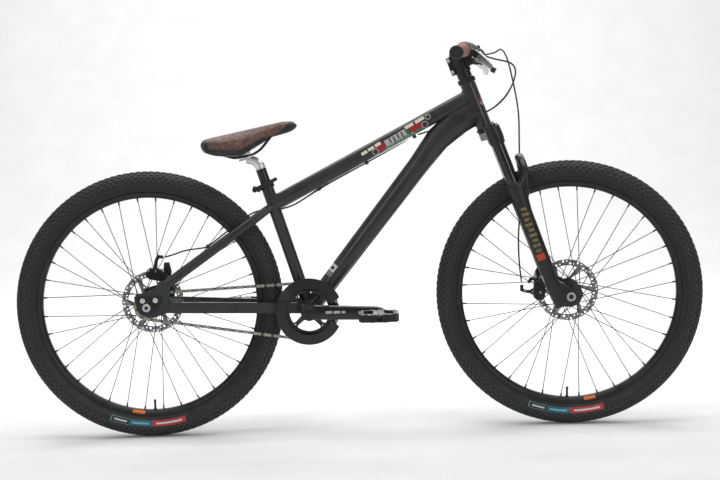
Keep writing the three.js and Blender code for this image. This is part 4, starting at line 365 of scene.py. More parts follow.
def lay_mark(material, colour, mask):
    """Lays a colour over a finish wherever a mask is one, under the dust."""
    tree = material.node_tree
    covered = tree.nodes["Dust over all"].inputs[mix_first]
    mark = mix_colour(tree, mask, covered.links[0].from_socket, (*colour, 1))
    tree.links.new(mark.outputs[mix_result], covered)


def print_mark(material, colour, group, share=None, **values):
    """Prints the shape of a group over a finish, whole or only by a share at each spot."""
    tree = material.node_tree
    mask = use_group(tree, group, object_place(tree), **values)["Mask"]
    if share is not None:
        mask = math_node(tree, "MULTIPLY", mask, share)
    lay_mark(material, colour, mask)


def block_mark(material, colour, place, turn, half_length, half_height, share=None):
    """Prints a plain block of colour at a place on the bike's side, turned by degrees."""
    print_mark(
        material, colour, block_group, share, Place=place, Turn=math.radians(turn),
        Half_length=half_length, Half_height=half_height)


def copy_finish(name, source):
    """A second material that starts as a copy of a finish, to carry marks of its own."""
    finishes[name] = finishes[source].copy()
    finishes[name].name = name
    return finishes[name]


# %% Mix the finishes
make_finish(
    "frame_paint", (0.012, 0.0135, 0.0135), (0.02, 0.0225, 0.0225), (0.3, 0.42), coat=0.2,
    wear=0.05, dust=0.03)
make_finish(
    "fork_paint", (0.009, 0.010, 0.0105), (0.015, 0.0165, 0.017), (0.26, 0.36), coat=0.12,
    wear=0.0, dust=0.03, shine=0.35)
make_finish(
    "black_alloy", (0.012, 0.012, 0.0125), (0.02, 0.02, 0.021), (0.3, 0.42), metal=0.3,
    grain=1600, worn=(0.5, 0.5, 0.5), dust=0.06)
make_finish(
    "gloss_black_alloy", (0.004, 0.0042, 0.0045), (0.008, 0.0083, 0.0088), (0.12, 0.22),
    grain=700, depth=0.06, worn=(0.5, 0.5, 0.5), wear=0.04, coat=0.3, dust=0.015, shine=0.4)
make_finish(
    "black_steel", (0.026, 0.026, 0.028), (0.045, 0.045, 0.048), (0.36, 0.5), metal=0.7,
    grain=1500, worn=(0.5, 0.48, 0.45), dust=0.06)
make_finish(
    "polished_alloy", (0.76, 0.77, 0.78), (0.64, 0.65, 0.66), (0.16, 0.28), metal=0.6,
    grain=1800, depth=0.05, worn=(0.85, 0.85, 0.86), dust=0.03)
make_finish(
    "dark_chrome", (0.045, 0.048, 0.05), (0.06, 0.063, 0.066), (0.08, 0.14), metal=1.0,
    grain=1200, depth=0.02, worn=(0.4, 0.4, 0.42), dust=0.02)
make_finish(
    "steel", (0.5, 0.5, 0.5), (0.38, 0.38, 0.37), (0.22, 0.36), metal=1.0, grain=1800,
    depth=0.08, worn=(0.75, 0.75, 0.75), dust=0.05)
make_finish(
    "rotor_steel", (0.34, 0.34, 0.337), (0.25, 0.25, 0.248), (0.3, 0.42), metal=0.85,
    grain=1800, depth=0.08, wear=0.0, dust=0.03)
make_finish(
    "link_steel", (0.12, 0.112, 0.1), (0.07, 0.066, 0.06), (0.26, 0.4), metal=1.0, grain=1400,
    wear=0.0, dust=0.04)
make_finish(
    "tread", (0.02, 0.021, 0.0215), (0.04, 0.042, 0.043), (0.5, 0.68), grain=1100, depth=0.5,
    worn=(0.1, 0.1, 0.1), dust=0.1)
make_finish(
    "pedal_alloy", (0.012, 0.012, 0.0125), (0.02, 0.02, 0.021), (0.28, 0.4), metal=0.3,
    grain=1600, worn=(0.7, 0.7, 0.7), wear=0.6, dust=0.06)
make_finish(
    "chain_steel", (0.44, 0.41, 0.36), (0.3, 0.28, 0.245), (0.2, 0.34), metal=1.0, grain=1400,
    worn=(0.8, 0.75, 0.66), dust=0.04)
make_finish(
    "tyre", (0.011, 0.0118, 0.0122), (0.018, 0.0195, 0.02), (0.6, 0.78), grain=1100, depth=0.5,
    worn=(0.06, 0.06, 0.06), dust=0.1)
make_finish(
    "grip_rubber", (0.33, 0.17, 0.125), (0.27, 0.14, 0.105), (0.55, 0.72), grain=1500,
    depth=0.4, worn=(0.45, 0.27, 0.2), dust=0.08)
make_finish(
    "black_rubber", (0.014, 0.014, 0.015), (0.024, 0.024, 0.026), (0.5, 0.68), grain=1500,
    depth=0.3, worn=(0.06, 0.06, 0.06), dust=0.08)
make_finish(
    "saddle_cover", (0.105, 0.05, 0.036), (0.17, 0.075, 0.045), (0.42, 0.6), grain=1900,
    depth=0.5, worn=(0.25, 0.16, 0.11), dust=0.08)
make_finish(
    "black_plastic", (0.012, 0.012, 0.013), (0.02, 0.02, 0.022), (0.36, 0.5), grain=1300,
    depth=0.25, worn=(0.08, 0.08, 0.08), dust=0.08)
make_finish(
    "cable_jacket", (0.011, 0.011, 0.012), (0.017, 0.017, 0.018), (0.28, 0.4), grain=1000,
    worn=(0.08, 0.08, 0.08), dust=0.05)
for name, node in frame["nodes"].items():
    node.material_slots[0].material = finishes[slot_of[name]]
paper.data.materials.append(make_finish(
    "paper", (0.86, 0.865, 0.87), (0.83, 0.835, 0.845), (0.8, 0.95), grain=160.0, depth=0.05,
    wear=0.0, dust=0.0))
print("finishes:", ", ".join(finishes))

# %% [markdown]
# ## Machined and welded parts
# The CAD bodies have the right places and outlines, but their edges are dead sharp and their round tubes
# are facets. Real parts leave the lathe, the mould or the welder with broken edges that catch a line of
# light. Each of these parts is copied, its facets are merged and shaded as curves, and a fine rounding
# runs along every true edge.


# %% Tools that place and merge parts
def from_bmesh(name, work):
    """Turns a finished bmesh into an object."""
    mesh = bpy.data.meshes.new(name)
    work.to_mesh(mesh)
    work.free()
    return add_object(name, mesh)


def settle(piece, slot, body, *nodes, finish=None):
    """Gives a piece its finish and its body, and hides the CAD parts it stands for."""
    if not piece.data.materials:
        piece.data.materials.append(finishes[finish or slot])
    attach(piece, body)
    if nodes:
        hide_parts(*nodes)


def shade_by_angle(work, crease):
    """Shades faces as curves, with sharp lines where they meet at more than an angle."""
    for face in work.faces:
        face.smooth = True
    for line in work.edges:
        line.smooth = line.calc_face_angle(0.0) < math.radians(crease)


def merged_copy(node, gather=0.00004):
    """A bmesh of a CAD part with its loose triangles joined and its flat faces made whole."""
    source = frame["nodes"][node].data
    work = bmesh.new()
    for vertex in source.vertices:
        work.verts.new(vertex.co)
    work.verts.ensure_lookup_table()
    for face in source.polygons:
        work.faces.new([work.verts[i] for i in face.vertices])
    bmesh.ops.remove_doubles(work, verts=work.verts, dist=gather)
    bmesh.ops.dissolve_degenerate(work, edges=work.edges, dist=gather)
    bmesh.ops.dissolve_limit(
        work, angle_limit=math.radians(0.6), verts=work.verts, edges=work.edges,
        use_dissolve_boundaries=False)
    bmesh.ops.recalc_face_normals(work, faces=work.faces)
    return work


def round_rims(work, middle, radii, cuts=3):
    """Adds points along the circular edges of a part that turns about a crosswise axis."""
    def reach(point):
        return math.hypot(point.x - middle.x, point.z - middle.z)

    def on_rim(line):
        a, b = (v.co for v in line.verts)
        level = abs(a.y - b.y) < 0.00001 and line.calc_face_angle(0.0) > math.radians(30)
        return level and any(
            abs(reach(a) - r) < 0.0004 and abs(reach(b) - r) < 0.0004 for r in radii)

    bmesh.ops.triangulate(work, faces=[face for face in work.faces if len(face.verts) > 4])
    before = set(work.verts)
    bmesh.ops.subdivide_edges(work, edges=[e for e in work.edges if on_rim(e)], cuts=cuts)
    for vertex in work.verts:
        if vertex not in before:
            now = reach(vertex.co)
            grow = min(radii, key=lambda r: abs(r - now)) / now
            vertex.co.x = middle.x + (vertex.co.x - middle.x) * grow
            vertex.co.z = middle.z + (vertex.co.z - middle.z) * grow


def make_round(piece, levels):
    """Rounds a piece by subdivision."""
    rounding = piece.modifiers.new("Made round", "SUBSURF")
    rounding.levels = rounding.render_levels = levels


# %% Tools that build new parts
def around(steps, start=0.0):
    """Angles that share out a full turn."""
    return [start + 2 * math.pi * i / steps for i in range(steps)]


def circle(radius, steps, middle=(0.0, 0.0)):
    """Points of a circle in the plane of a disc."""
    return [(
        middle[0] + radius * math.cos(a), middle[1] + radius * math.sin(a)) for a in around(steps)]


def skin(work, rings, smooth=True, ends=(0, -1)):
    """Joins rings of points into a body and closes its ends."""
    for low, high in zip(rings, rings[1:]):
        for k in range(len(low)):
            m = (k + 1) % len(low)
            work.faces.new((low[k], low[m], high[m], high[k])).smooth = smooth
    for end in ends:
        work.faces.new(rings[end] if end else rings[end][::-1])


def wire(work, path, radius, sides=8):
    """Adds a round wire along a path of points, with one radius or a radius at each point."""
    rings = []
    sizes = radius if isinstance(radius, list) else [radius] * len(path)
    for i, (point, size) in enumerate(zip(path, sizes)):
        way = (path[min(i + 1, len(path) - 1)] - path[max(i - 1, 0)]).normalized()
        turn = way.to_track_quat("Z", "Y")
        rings.append([
            work.verts.new(point + turn @ Vector((x, y, 0))) for x, y in circle(size, sides)])
    skin(work, rings)


def sweep_ovals(work, rings, steps=28):
    """Skins a body through ovals, each a middle, two half axes and their lengths."""
    skin(work, [[
        work.verts.new(
            middle + first_way * (a * math.cos(t)) + second_way * (b * math.sin(t)))
        for t in around(steps)] for middle, first_way, second_way, a, b in rings])


def stand(work, place, way):
    """Moves a bmesh from the origin, where it stands along Z, to a place and a direction."""
    facing = Vector(way).to_track_quat("Z", "Y").to_matrix().to_4x4()
    bmesh.ops.transform(work, matrix=Matrix.Translation(place) @ facing, verts=work.verts)


def lathe(outline, place=(0, 0, 0), way=(0, 1, 0), steps=64, closed=False, crease=30.0):
    """Spins an outline of (radius, along) points about an axis through a place."""
    work = bmesh.new()
    ring = [work.verts.new((radius, 0.0, along)) for radius, along in outline]
    lines = [work.edges.new(pair) for pair in zip(ring, ring[1:])]
    if closed:
        lines.append(work.edges.new((ring[-1], ring[0])))
    bmesh.ops.spin(
        work, geom=ring + lines, cent=(0, 0, 0), axis=(0, 0, 1), angle=2 * math.pi,
        steps=steps, use_merge=True)
    bmesh.ops.remove_doubles(work, verts=work.verts, dist=1e-6)
    bmesh.ops.recalc_face_normals(work, faces=work.faces)
    shade_by_angle(work, crease)
    stand(work, place, way)
    return work


def poured(works):
    """One bmesh made of several, which are freed."""
    whole = bmesh.new()
    for work in works:
        mesh = bpy.data.meshes.new("poured")
        work.to_mesh(mesh)
        work.free()
        whole.from_mesh(mesh)
        bpy.data.meshes.remove(mesh)
    return whole


def socket_bolt(place, way, radius, height, key=0.45, steps=24):
    """A screw head with a broken edge and a six-sided hole for its key."""
    work = bmesh.new()
    rings = []
    for reach, level in (
        (radius, 0.0), (radius, height * 0.75), (radius * 0.88, height),
        (radius * key * 1.15, height),
    ):
        rings.append([work.verts.new((x, y, level)) for x, y in circle(reach, steps)])
    for level in (height * 0.98, height * 0.3):
        ring = []
        for a in around(steps):
            off = (a + math.pi / 6) % (math.pi / 3) - math.pi / 6
            reach = radius * key / math.cos(off)
            ring.append(work.verts.new((reach * math.cos(a), reach * math.sin(a), level)))
        rings.append(ring)
    skin(work, rings, ends=(-1,))
    bmesh.ops.recalc_face_normals(work, faces=work.faces)
    shade_by_angle(work, 30)
    stand(work, place, way)
    return work


def axis_of(node):
    """The middle line of a long round CAD part, as its two ends."""
    points = np.array([v.co for v in frame["nodes"][node].data.vertices])
    points = np.unique(points.round(6), axis=0)
    _, _, ways = np.linalg.svd(points - points.mean(0), full_matrices=False)
    middle = Vector(points.mean(0).tolist())
    way = Vector(ways[0].tolist())
    spread = (points - points.mean(0)) @ ways[0]
    return middle + way * float(spread.min()), middle + way * float(spread.max())


# %% Finish the frame, fork and bolted parts
shell_middle = Vector((-0.12951, 0.0, 0.315))
guard_radii = (0.0842, 0.0590)
# Each part: title, CAD part, rounding in tenths of a millimetre, crease in degrees
machined = (
    ("welded_frame", "frame", 6, 40), ("upper_headset_cup", "headset_cup_upper", 8, 30),
    ("lower_headset_cup", "headset_cup_lower", 8, 30), ("seat_collar_ring", "seat_collar", 8, 35),
    ("bottom_bracket_cup_drive", "bottom_bracket_cup_right", 6, 35),
    ("bottom_bracket_cup_far", "bottom_bracket_cup_left", 6, 35),
    ("dropout_slider_drive", "dropout_slider_right", 6, 35),
    ("dropout_slider_far", "dropout_slider_left", 6, 35), ("rear_axle_bolt", "rear_axle", 8, 35),
    ("rear_brake_body", "rear_calliper", 10, 35), ("rear_brake_arm", "rear_calliper_arm", 6, 35),
    ("front_brake_body", "front_calliper", 10, 35),
    ("front_brake_arm", "front_calliper_arm", 6, 35),
    ("sliding_fork_legs", "fork_lowers", 12, 40), ("fork_crown_casting", "fork_crown", 15, 40),
    ("stanchion_tube_right", "stanchion_right", 5, 40),
    ("stanchion_tube_left", "stanchion_left", 5, 40),
    ("wiper_seal_right", "fork_seal_right", 8, 35), ("wiper_seal_left", "fork_seal_left", 8, 35),
    ("front_axle_bolt", "front_axle", 8, 35), ("stem_body", "stem", 18, 35),
    ("stem_face_clamp", "stem_faceplate", 12, 35), ("stem_cap", "stem_top_cap", 10, 35),
    ("steerer_spacer", "headset_spacer", 6, 35), ("riser_bar", "handlebar", 4, 50),
    ("seat_post_tube", "seat_post", 10, 40), ("seat_clamp_handle", "seat_clamp_lever", 15, 35),
    ("rail_clamp", "saddle_clamp", 8, 35), ("bottom_bracket_spindle", "crank_spindle", 6, 35),
    ("crank_arm_drive", "crank_arm_right", 24, 35), ("crank_arm_far", "crank_arm_left", 24, 35),
    ("toothed_chainring", "chainring", 4, 35), ("chain_guard_ring", "bash_guard", 14, 35),
    ("freewheel_cog", "rear_cog", 4, 35), ("platform_pedal_drive", "pedal_right", 12, 35),
    ("platform_pedal_far", "pedal_left", 12, 35),
    ("brake_perch_drive", "brake_perch_right", 8, 35),
    ("brake_perch_far", "brake_perch_left", 8, 35),
    ("brake_lever_drive", "brake_lever_right", 6, 35),
    ("brake_lever_far", "brake_lever_left", 6, 35),
)
for title, node, edge, crease in machined:
    work = merged_copy(node)
    if node == "bash_guard":
        round_rims(work, shell_middle, guard_radii)
    shade_by_angle(work, crease)
    piece = from_bmesh(title, work)
    rounding = piece.modifiers.new("Rounded edges", "BEVEL")
    rounding.width = edge / 10000
    rounding.segments = 3 if edge > 10 else 2
    rounding.limit_method = "ANGLE"
    rounding.angle_limit = math.radians(crease)
    rounding.harden_normals = True
    settle(piece, slot_of[node], body_of[node], node)
print(len(machined), "parts copied and rounded")

# %% Make hoses and rails round; both hose bows get their finish and stay on no body
hose_bends = {
    "rear_brake_hose_bow": (
        "frame", "steering", (0.1700, 0.0100, 0.7600), (0.2950, -0.1500, 0.9350)),
    "front_brake_hose_bow": (
        "lowers", "steering", (0.4200, 0.0400, 0.7000), (0.3300, 0.1450, 0.9450)),
}
for title, node in (
    ("rear_brake_hose", "rear_brake_cable"), ("rear_brake_hose_bow", "rear_brake_cable_loop"),
    ("front_brake_hose", "front_brake_cable"), ("front_brake_hose_bow", "front_brake_cable_loop"),
    ("saddle_rail_wire", "saddle_rails"),
):
    work = merged_copy(node)
    shade_by_angle(work, 75)
    piece = from_bmesh(title, work)
    make_round(piece, 2)
    if title in hose_bends:
        piece.data.materials.append(finishes[slot_of[node]])
        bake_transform(piece)
        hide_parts(node)
    else:
        settle(piece, slot_of[node], body_of[node], node)
    print(title, "bends" if title in hose_bends else "is rigid")

# %% [markdown]
# ## Wheels
# A wheel is modelled once in its own frame, with its axle along Y, and then put in place. The front one
# is turned with the fork by five degrees. The tyre is a lathe shape with staggered rows of small blocks,
# the rim a hollow box with two hooked walls, and the hub carries thirty-six round wires crossed three
# times, each ending in a nipple.

# %% Sizes shared by both wheels, outlines in millimetres
mm = 0.001
steer_way = Vector((-0.34366, 0.0, 0.939094))
rear_middle = Vector((-0.5348, 0.0, 0.339))
front_middle = Vector((0.53463, -0.004157, 0.338938))
wheel_places = {
    "rear": Matrix.Translation(rear_middle),
    "front": Matrix.Translation(front_middle) @ Matrix.Rotation(math.radians(-5), 4, steer_way),
}
front_way = (wheel_places["front"].to_3x3() @ across_bike).normalized()
casing = [
    (0.0, 336.4), (6.0, 335.9), (12.0, 334.2), (17.5, 331.2), (22.0, 326.6), (25.2, 320.6),
    (26.6, 314.0), (26.2, 307.6), (23.4, 300.6), (22.6, 299.6), (21.2, 299.0), (18.0, 293.8),
    (14.6, 289.6), (12.6, 286.4), (12.2, 282.6),
]
rim_half = [
    (0.0, 271.5), (5.6, 271.6), (7.6, 272.6), (11.4, 276.4), (14.2, 280.0), (15.0, 282.0),
    (15.0, 285.4), (14.4, 286.0), (13.4, 286.0), (12.9, 285.2), (13.2, 284.2), (12.6, 281.6),
    (8.0, 280.3), (0.0, 279.6),
]
# Rows of blocks: distance from the middle, width, length, height, turn within the pitch
block_rows = (
    (3.6, 5.4, 8.6, 2.5, 0.0), (11.2, 6.2, 8.0, 2.5, 0.5), (17.8, 5.4, 7.6, 2.3, 0.0),
    (22.6, 4.6, 9.4, 2.2, 0.5), (25.6, 5.2, 7.4, 1.9, 0.0), (26.55, 4.6, 8.6, 1.5, 0.5),
)
block_pitches = 128


# %% Tyre with its rows of blocks, and rim
def casing_at(side):
    """Radius and outward slope of the tyre's casing at a distance from its middle."""
    for (y0, r0), (y1, r1) in zip(casing, casing[1:]):
        if y0 <= side <= y1:
            share = (side - y0) / (y1 - y0)
            return r0 + share * (r1 - r0), Vector((-(r1 - r0), y1 - y0)).normalized()


def add_block(work, side, turn, place, width, length, height):
    """Adds one tapered block of tread, which stands on the casing."""
    radius, slope = casing_at(place)
    rings = []
    for lift, grow in ((-0.6, 1.0), (height - 0.5, 0.94), (height, 0.8)):
        ring = []
        for a, b in ((-1, -1), (1, -1), (1, 1), (-1, 1)):
            y = place + slope.x * lift + b * grow * width / 2 * slope.y
            r = radius + slope.y * lift - b * grow * width / 2 * slope.x
            angle = turn + a * grow * length / 2 / radius
            ring.append(work.verts.new((
                r * mm * math.cos(angle), side * y * mm, r * mm * math.sin(angle))))
        rings.append(ring)
    faces = [rings[-1]]
    for low, high in zip(rings, rings[1:]):
        faces += [(low[k], low[k - 3], high[k - 3], high[k]) for k in range(4)]
    for corners in faces:
        work.faces.new(corners if side < 0 else corners[::-1]).material_index = 1


def make_tyre(title):
    """A casing spun about the axle, with staggered blocks laid round it."""
    outline = [(r * mm, y * mm) for y, r in reversed(casing)]
    outline += [(r * mm, -y * mm) for y, r in casing[1:]]
    work = lathe(outline, steps=160, closed=True, crease=50)
    for i in range(block_pitches):
        for side in (-1, 1):
            for *block, phase in block_rows:
                shift = phase + (0.25 if side > 0 else 0.0)
                add_block(work, side, 2 * math.pi * (i + shift) / block_pitches, *block)
    return from_bmesh(title, work)


def make_rim(title):
    """A hollow box rim with hooked walls, spun about the axle."""
    outline = [(r * mm, y * mm) for y, r in rim_half]
    outline += [(r * mm, -y * mm) for y, r in reversed(rim_half[1:-1])]
    return from_bmesh(title, lathe(outline, steps=180, closed=True, crease=28))


# %% Spokes and nipples
spoke_count = 36
spoke_start, spoke_turn = 5, 20  # degrees from straight ahead, and from one pair to the next
spoke_crossings = 3


def spoke_ends(flange, place):
    """Where each spoke leaves its flange and enters the rim, and which way it leans."""
    for i in range(spoke_count):
        side = 1 if i % 2 else -1
        lean = 1 if (i // 2) % 2 else -1
        at_hub = spoke_start + (i // 2) * spoke_turn + (spoke_turn / 2 if side > 0 else 0)
        at_rim = math.radians(at_hub + lean * spoke_crossings * spoke_turn)
        at_hub = math.radians(at_hub)
        hole = flange - 4
        root = Vector((
            hole * math.cos(at_hub), side * place + lean * 1.9, hole * math.sin(at_hub)))
        tip = Vector((270.6 * math.cos(at_rim), side * 3, 270.6 * math.sin(at_rim)))
        yield root * mm, tip * mm, lean


def make_spokes(title, flange, place):
    """Thirty-six wires, each with a hooked head in its flange."""
    work = bmesh.new()
    for root, tip, lean in spoke_ends(flange, place):
        way = (tip - root).normalized()
        inward = Vector((0, -lean, 0))
        wire(work, [
            root + inward * 0.0034 - way * 0.0012, root + inward * 0.0012 - way * 0.001,
            root + way * 0.0008, root + way * 0.004, root.lerp(tip, 0.5), tip,
        ], [0.0016, 0.0011, 0.0011, 0.0011, 0.00095, 0.00095])
    return from_bmesh(title, work)


def make_nipples(title, flange, place):
    """The square-shouldered nuts that hold the spokes in the rim."""
    work = bmesh.new()
    for root, tip, _ in spoke_ends(flange, place):
        way = (tip - root).normalized()
        wire(
            work, [tip + way * along for along in (-0.0085, -0.008, -0.002, 0.0022)],
            [0.0014, 0.0019, 0.0021, 0.0026])
    return from_bmesh(title, work)


# %% Hub, brake disc and valve
disc_bolts, disc_bolt_circle, disc_bolt_start = 6, 0.022, math.radians(-11)


def make_hub(title, flange, place, barrel, half, disc, axle):
    """A hub shell turned from bar, with solid spoke flanges, bearing seats and a disc mount."""
    side = [
        (axle, -half), (12.0, -half), (14.0, -half + 2), (14.0, -place - 5), (19.0, -place - 3.4),
        (flange - 1, -place - 1.7), (flange, -place - 1.0), (flange, -place + 1.0),
        (flange - 1, -place + 1.7), (barrel + 4, -place + 4), (barrel, -place + 9),
        (barrel - 1.2, 0.0), (barrel, place - 9), (barrel + 4, place - 4),
        (flange - 1, place - 1.7), (flange, place - 1.0), (flange, place + 1.0),
        (flange - 1, place + 1.7), (25.0, place + 3.6), (26.0, disc - 2.0), (26.0, disc - 0.5),
        (14.6, disc - 0.4), (14.0, disc + 3), (14.0, half - 2), (12.0, half), (axle, half),
    ]
    return from_bmesh(title, lathe([(r * mm, y * mm) for r, y in side], steps=60, closed=True))


def flat_plate(loops, thickness, round_edge, place, way):
    """A plate cut to closed loops, with softened edges, standing across a direction."""
    curve = bpy.data.curves.new("plate_draft", "CURVE")
    curve.dimensions = "2D"
    curve.fill_mode = "BOTH"
    curve.extrude = thickness / 2 - round_edge
    curve.bevel_depth = round_edge
    curve.bevel_resolution = 1
    for loop in loops:
        spline = curve.splines.new("POLY")
        spline.points.add(len(loop) - 1)
        spline.use_cyclic_u = True
        for point, (x, y) in zip(spline.points, loop):
            point.co = (x, y, 0, 1)
    draft = add_object("plate_draft", curve)
    bpy.context.view_layer.update()
    mesh = bpy.data.meshes.new_from_object(draft)
    bpy.data.objects.remove(draft)
    bpy.data.curves.remove(curve)
    work = bmesh.new()
    work.from_mesh(mesh)
    bpy.data.meshes.remove(mesh)
    bmesh.ops.remove_doubles(work, verts=work.verts, dist=1e-6)
    bmesh.ops.recalc_face_normals(work, faces=work.faces)
    shade_by_angle(work, 30)
    stand(work, place, way)
    return work


def polar(reach, angle):
    """A point of a disc from its distance and angle."""
    return reach * math.cos(angle), reach * math.sin(angle)


def make_rotor(title, place):
    """A steel disc with a wavy rim, round holes and leaning arms."""
    waves = 24
    loops = [[polar(0.0794 + 0.0006 * math.cos(a * waves), a) for a in around(240)]]
    for i, angle in enumerate(around(waves)):
        between = angle + math.pi / waves
        loops.append(circle(0.0031, 16, polar(0.0747 if i % 2 else 0.0692, between)))
        loops.append(circle(0.0022, 12, polar(0.0690 if i % 2 else 0.0752, angle)))
    span, lean = 2 * math.pi / 6, math.radians(22)
    for i in range(6):
        start, end = (i + 0.10) * span, (i + 0.90) * span
        window = [polar(0.0640, start + (end - start) * k / 14) for k in range(15)]
        window += [polar(0.0285, end - lean - (end - start) * k / 10) for k in range(11)]
        loops.append(window)
    loops.append(circle(0.0165, 48))
    for angle in around(disc_bolts, disc_bolt_start):
        loops.append(circle(0.0026, 12, polar(disc_bolt_circle, angle)))
    return from_bmesh(title, flat_plate(loops, 0.0019, 0.0002, (0, place, 0), across_bike))


def make_disc_bolts(title, place):
    """Six round-headed screws that hold the disc."""
    bolts = []
    for angle in around(disc_bolts, disc_bolt_start):
        x, z = polar(disc_bolt_circle, angle)
        bolts.append(socket_bolt((x, place, z), across_bike, 0.0036, 0.0022, steps=18))
    return from_bmesh(title, poured(bolts))


def make_valve(title, angle):
    """A threaded valve with a ring nut against the rim and a cap."""
    outline = [(0.0, 0.0), (0.0042, 0.0), (0.0042, 0.0022), (0.003, 0.0026)]
    level = 0.0030
    while level < 0.017:
        outline += [(0.0027, level), (0.0030, level + 0.0004)]
        level += 0.0009
    outline += [
        (0.0027, 0.0174), (0.0031, 0.0178), (0.0031, 0.0235), (0.0022, 0.0254), (0.0, 0.0256)]
    turn = math.radians(angle)
    out = Vector((math.sin(turn), 0, -math.cos(turn)))
    return from_bmesh(title, lathe(outline, out * 0.2712, -out, steps=20))


# %% Assemble both wheels
teal, night, blue, red_block = (
    (0.2, 0.42, 0.44), (0.012, 0.014, 0.015), (0.012, 0.115, 0.17), (0.42, 0.035, 0.045))
wheel_prints = (
    (teal, -20.8, -11.4, 0.2965, 0.3110), (night, -20.5, -11.6, 0.2972, 0.3103),
    (blue, -11.8, -0.6, 0.2965, 0.3110), (red_block, -0.6, 15.7, 0.2965, 0.3110),
    ((0.5, 0.52, 0.52), -19.2, -13.0, 0.3016, 0.3058),
    ((0.16, 0.42, 0.46), -10.4, -2.2, 0.3016, 0.3058),
    ((0.62, 0.6, 0.6), 1.2, 13.8, 0.3016, 0.3058),
)
for which, flange, place, barrel, half, disc, axle, valve, rim_block in (
    ("front", 33, 30, 18.5, 54.7, 44.0, 10.2, -1.6, (7.1, 13.2)),
    ("rear", 30, 31, 17.0, 67.5, 51.4, 6.2, 0.5, (-11.2, -4.6)),
):
    middle = wheel_places[which].translation
    rubber = copy_finish(which + "_tyre_rubber", "tyre")
    hoop = copy_finish(which + "_rim_black", "black_alloy")
    prints = [(rubber, *block) for block in wheel_prints]
    for material, colour, start, end, inner, outer in prints + [
            (hoop, (0.75, 0.16, 0.03), *rim_block, 0.2735, 0.2808)]:
        print_mark(
            material, colour, round_group, Place=middle, From_angle=math.radians(start),
            To_angle=math.radians(end), Inner=inner, Outer=outer)
    tyre = make_tyre(which + "_knobbed_tyre")
    for piece, slot, node, finish in (
        (tyre, "tyre", "tyre", which + "_tyre_rubber"),
        (make_rim(which + "_box_rim"), None, "rim", which + "_rim_black"),
        (make_hub(which + "_hub_shell", flange, place, barrel, half, disc, axle),
         None, "hub_and_spokes", None),
        (make_spokes(which + "_spokes", flange, place), "black_steel", None, None),
        (make_nipples(which + "_nipples", flange, place), "black_alloy", None, None),
        (make_rotor(which + "_brake_disc", (disc + 1.0) * mm), None, "rotor", "rotor_steel"),
        (make_disc_bolts(which + "_disc_bolts", (disc + 2.0) * mm), "steel", None, None),
        (make_valve(which + "_valve_stem", valve), None, "valve", None),
    ):
        nodes = [f"{which}_{node}"] if node else []
        piece.data.transform(wheel_places[which])
        settle(piece, slot or slot_of[nodes[0]], which + "_wheel", *nodes, finish=finish)
    tyre.data.materials.append(finishes["tread"])
    print(which, "wheel built, tyre has", len(tyre.data.polygons), "faces")

# %% [markdown]
# ## Chain
# A bicycle chain alternates inner and outer pairs of plates on rollers at half-inch pitch. The path is two
# straight runs tangent to both toothed wheels and two wraps round them. Each link is one stamped plate
# shape, pinched in the middle, set along the chord between two pins.

# %% Chain path
chain_y = -0.048
half_inch = 0.0127
ring_pitch = half_inch / 2 / math.sin(math.pi / 36)
cog_pitch = half_inch / 2 / math.sin(math.pi / 16)
span = shell_middle - rear_middle
span_lean = math.atan2(span.z, span.x)
spread = math.asin((ring_pitch - cog_pitch) / span.length)
straight = span.length * math.cos(spread)
front_wrap = ring_pitch * (math.pi + 2 * spread)
rear_wrap = cog_pitch * (math.pi - 2 * spread)
whole = 2 * straight + front_wrap + rear_wrap
link_count = 2 * round(whole / half_inch / 2)
top_angle = span_lean + math.pi / 2 + spread
low_angle = span_lean - math.pi / 2 - spread


def on_circle(middle, radius, angle):
    """A point of the chain's plane on a circle round a toothed wheel's middle."""
    x, z = polar(radius, angle)
    return Vector((middle.x + x, chain_y, middle.z + z))


def chain_point(distance):
    """A point of the chain's middle line, counted from the chainring's top and round its front."""
    d = distance % whole
    if d < front_wrap:
        return on_circle(shell_middle, ring_pitch, top_angle - d / ring_pitch)
    d -= front_wrap
    if d < straight:
        return on_circle(shell_middle, ring_pitch, low_angle).lerp(
            on_circle(rear_middle, cog_pitch, low_angle), d / straight)
    d -= straight
    if d < rear_wrap:
        return on_circle(rear_middle, cog_pitch, low_angle - d / cog_pitch)
    d -= rear_wrap
    return on_circle(rear_middle, cog_pitch, top_angle).lerp(
        on_circle(shell_middle, ring_pitch, top_angle), d / straight)


# %% Links and rollers
def link_outline(radius, waist, pitch):
    """The pinched outline of a chain plate, with its two ends round the pins."""
    outline = []
    for end, start in ((1, -110), (-1, 70)):
        for i in range(7):
            x, z = polar(radius, math.radians(start + i * 220 / 6))
            outline.append((end * pitch / 2 + x, z))
        outline.append((0.0, end * waist))
    return outline


outers, inners, rollers = bmesh.new(), bmesh.new(), bmesh.new()
pitch = whole / link_count
first = (top_angle - math.radians(90)) % math.radians(10) * ring_pitch
# Inner and outer plates: end radius, waist, and how far from the middle they start and end
plate_sizes = ((0.0041, 0.0028, 0.0031, 0.0039), (0.0038, 0.0026, 0.0021, 0.0029))
for i in range(link_count):
    start, end = chain_point(first + i * pitch), chain_point(first + (i + 1) * pitch)
    way = end - start
    place = Matrix.Translation((start + end) / 2) @ Matrix.Rotation(
        -math.atan2(way.z, way.x), 4, "Y")
    radius, waist, near, far = plate_sizes[i % 2]
    for low, high in ((near, far), (-far, -near)):
        plates = inners if i % 2 else outers
        skin(plates, [[
            plates.verts.new(place @ Vector((x, y, z)))
            for x, z in link_outline(radius, waist, way.length)] for y in (low, high)],
            smooth=False)
    for body, reach, radius, sides in ((rollers, 0.002, 0.0036, 10), (outers, 0.0043, 0.0017, 8)):
        wire(body, [start + across_bike * y for y in (-reach, reach)], radius, sides)
for plates in (outers, inners):
    bmesh.ops.recalc_face_normals(plates, faces=plates.faces)
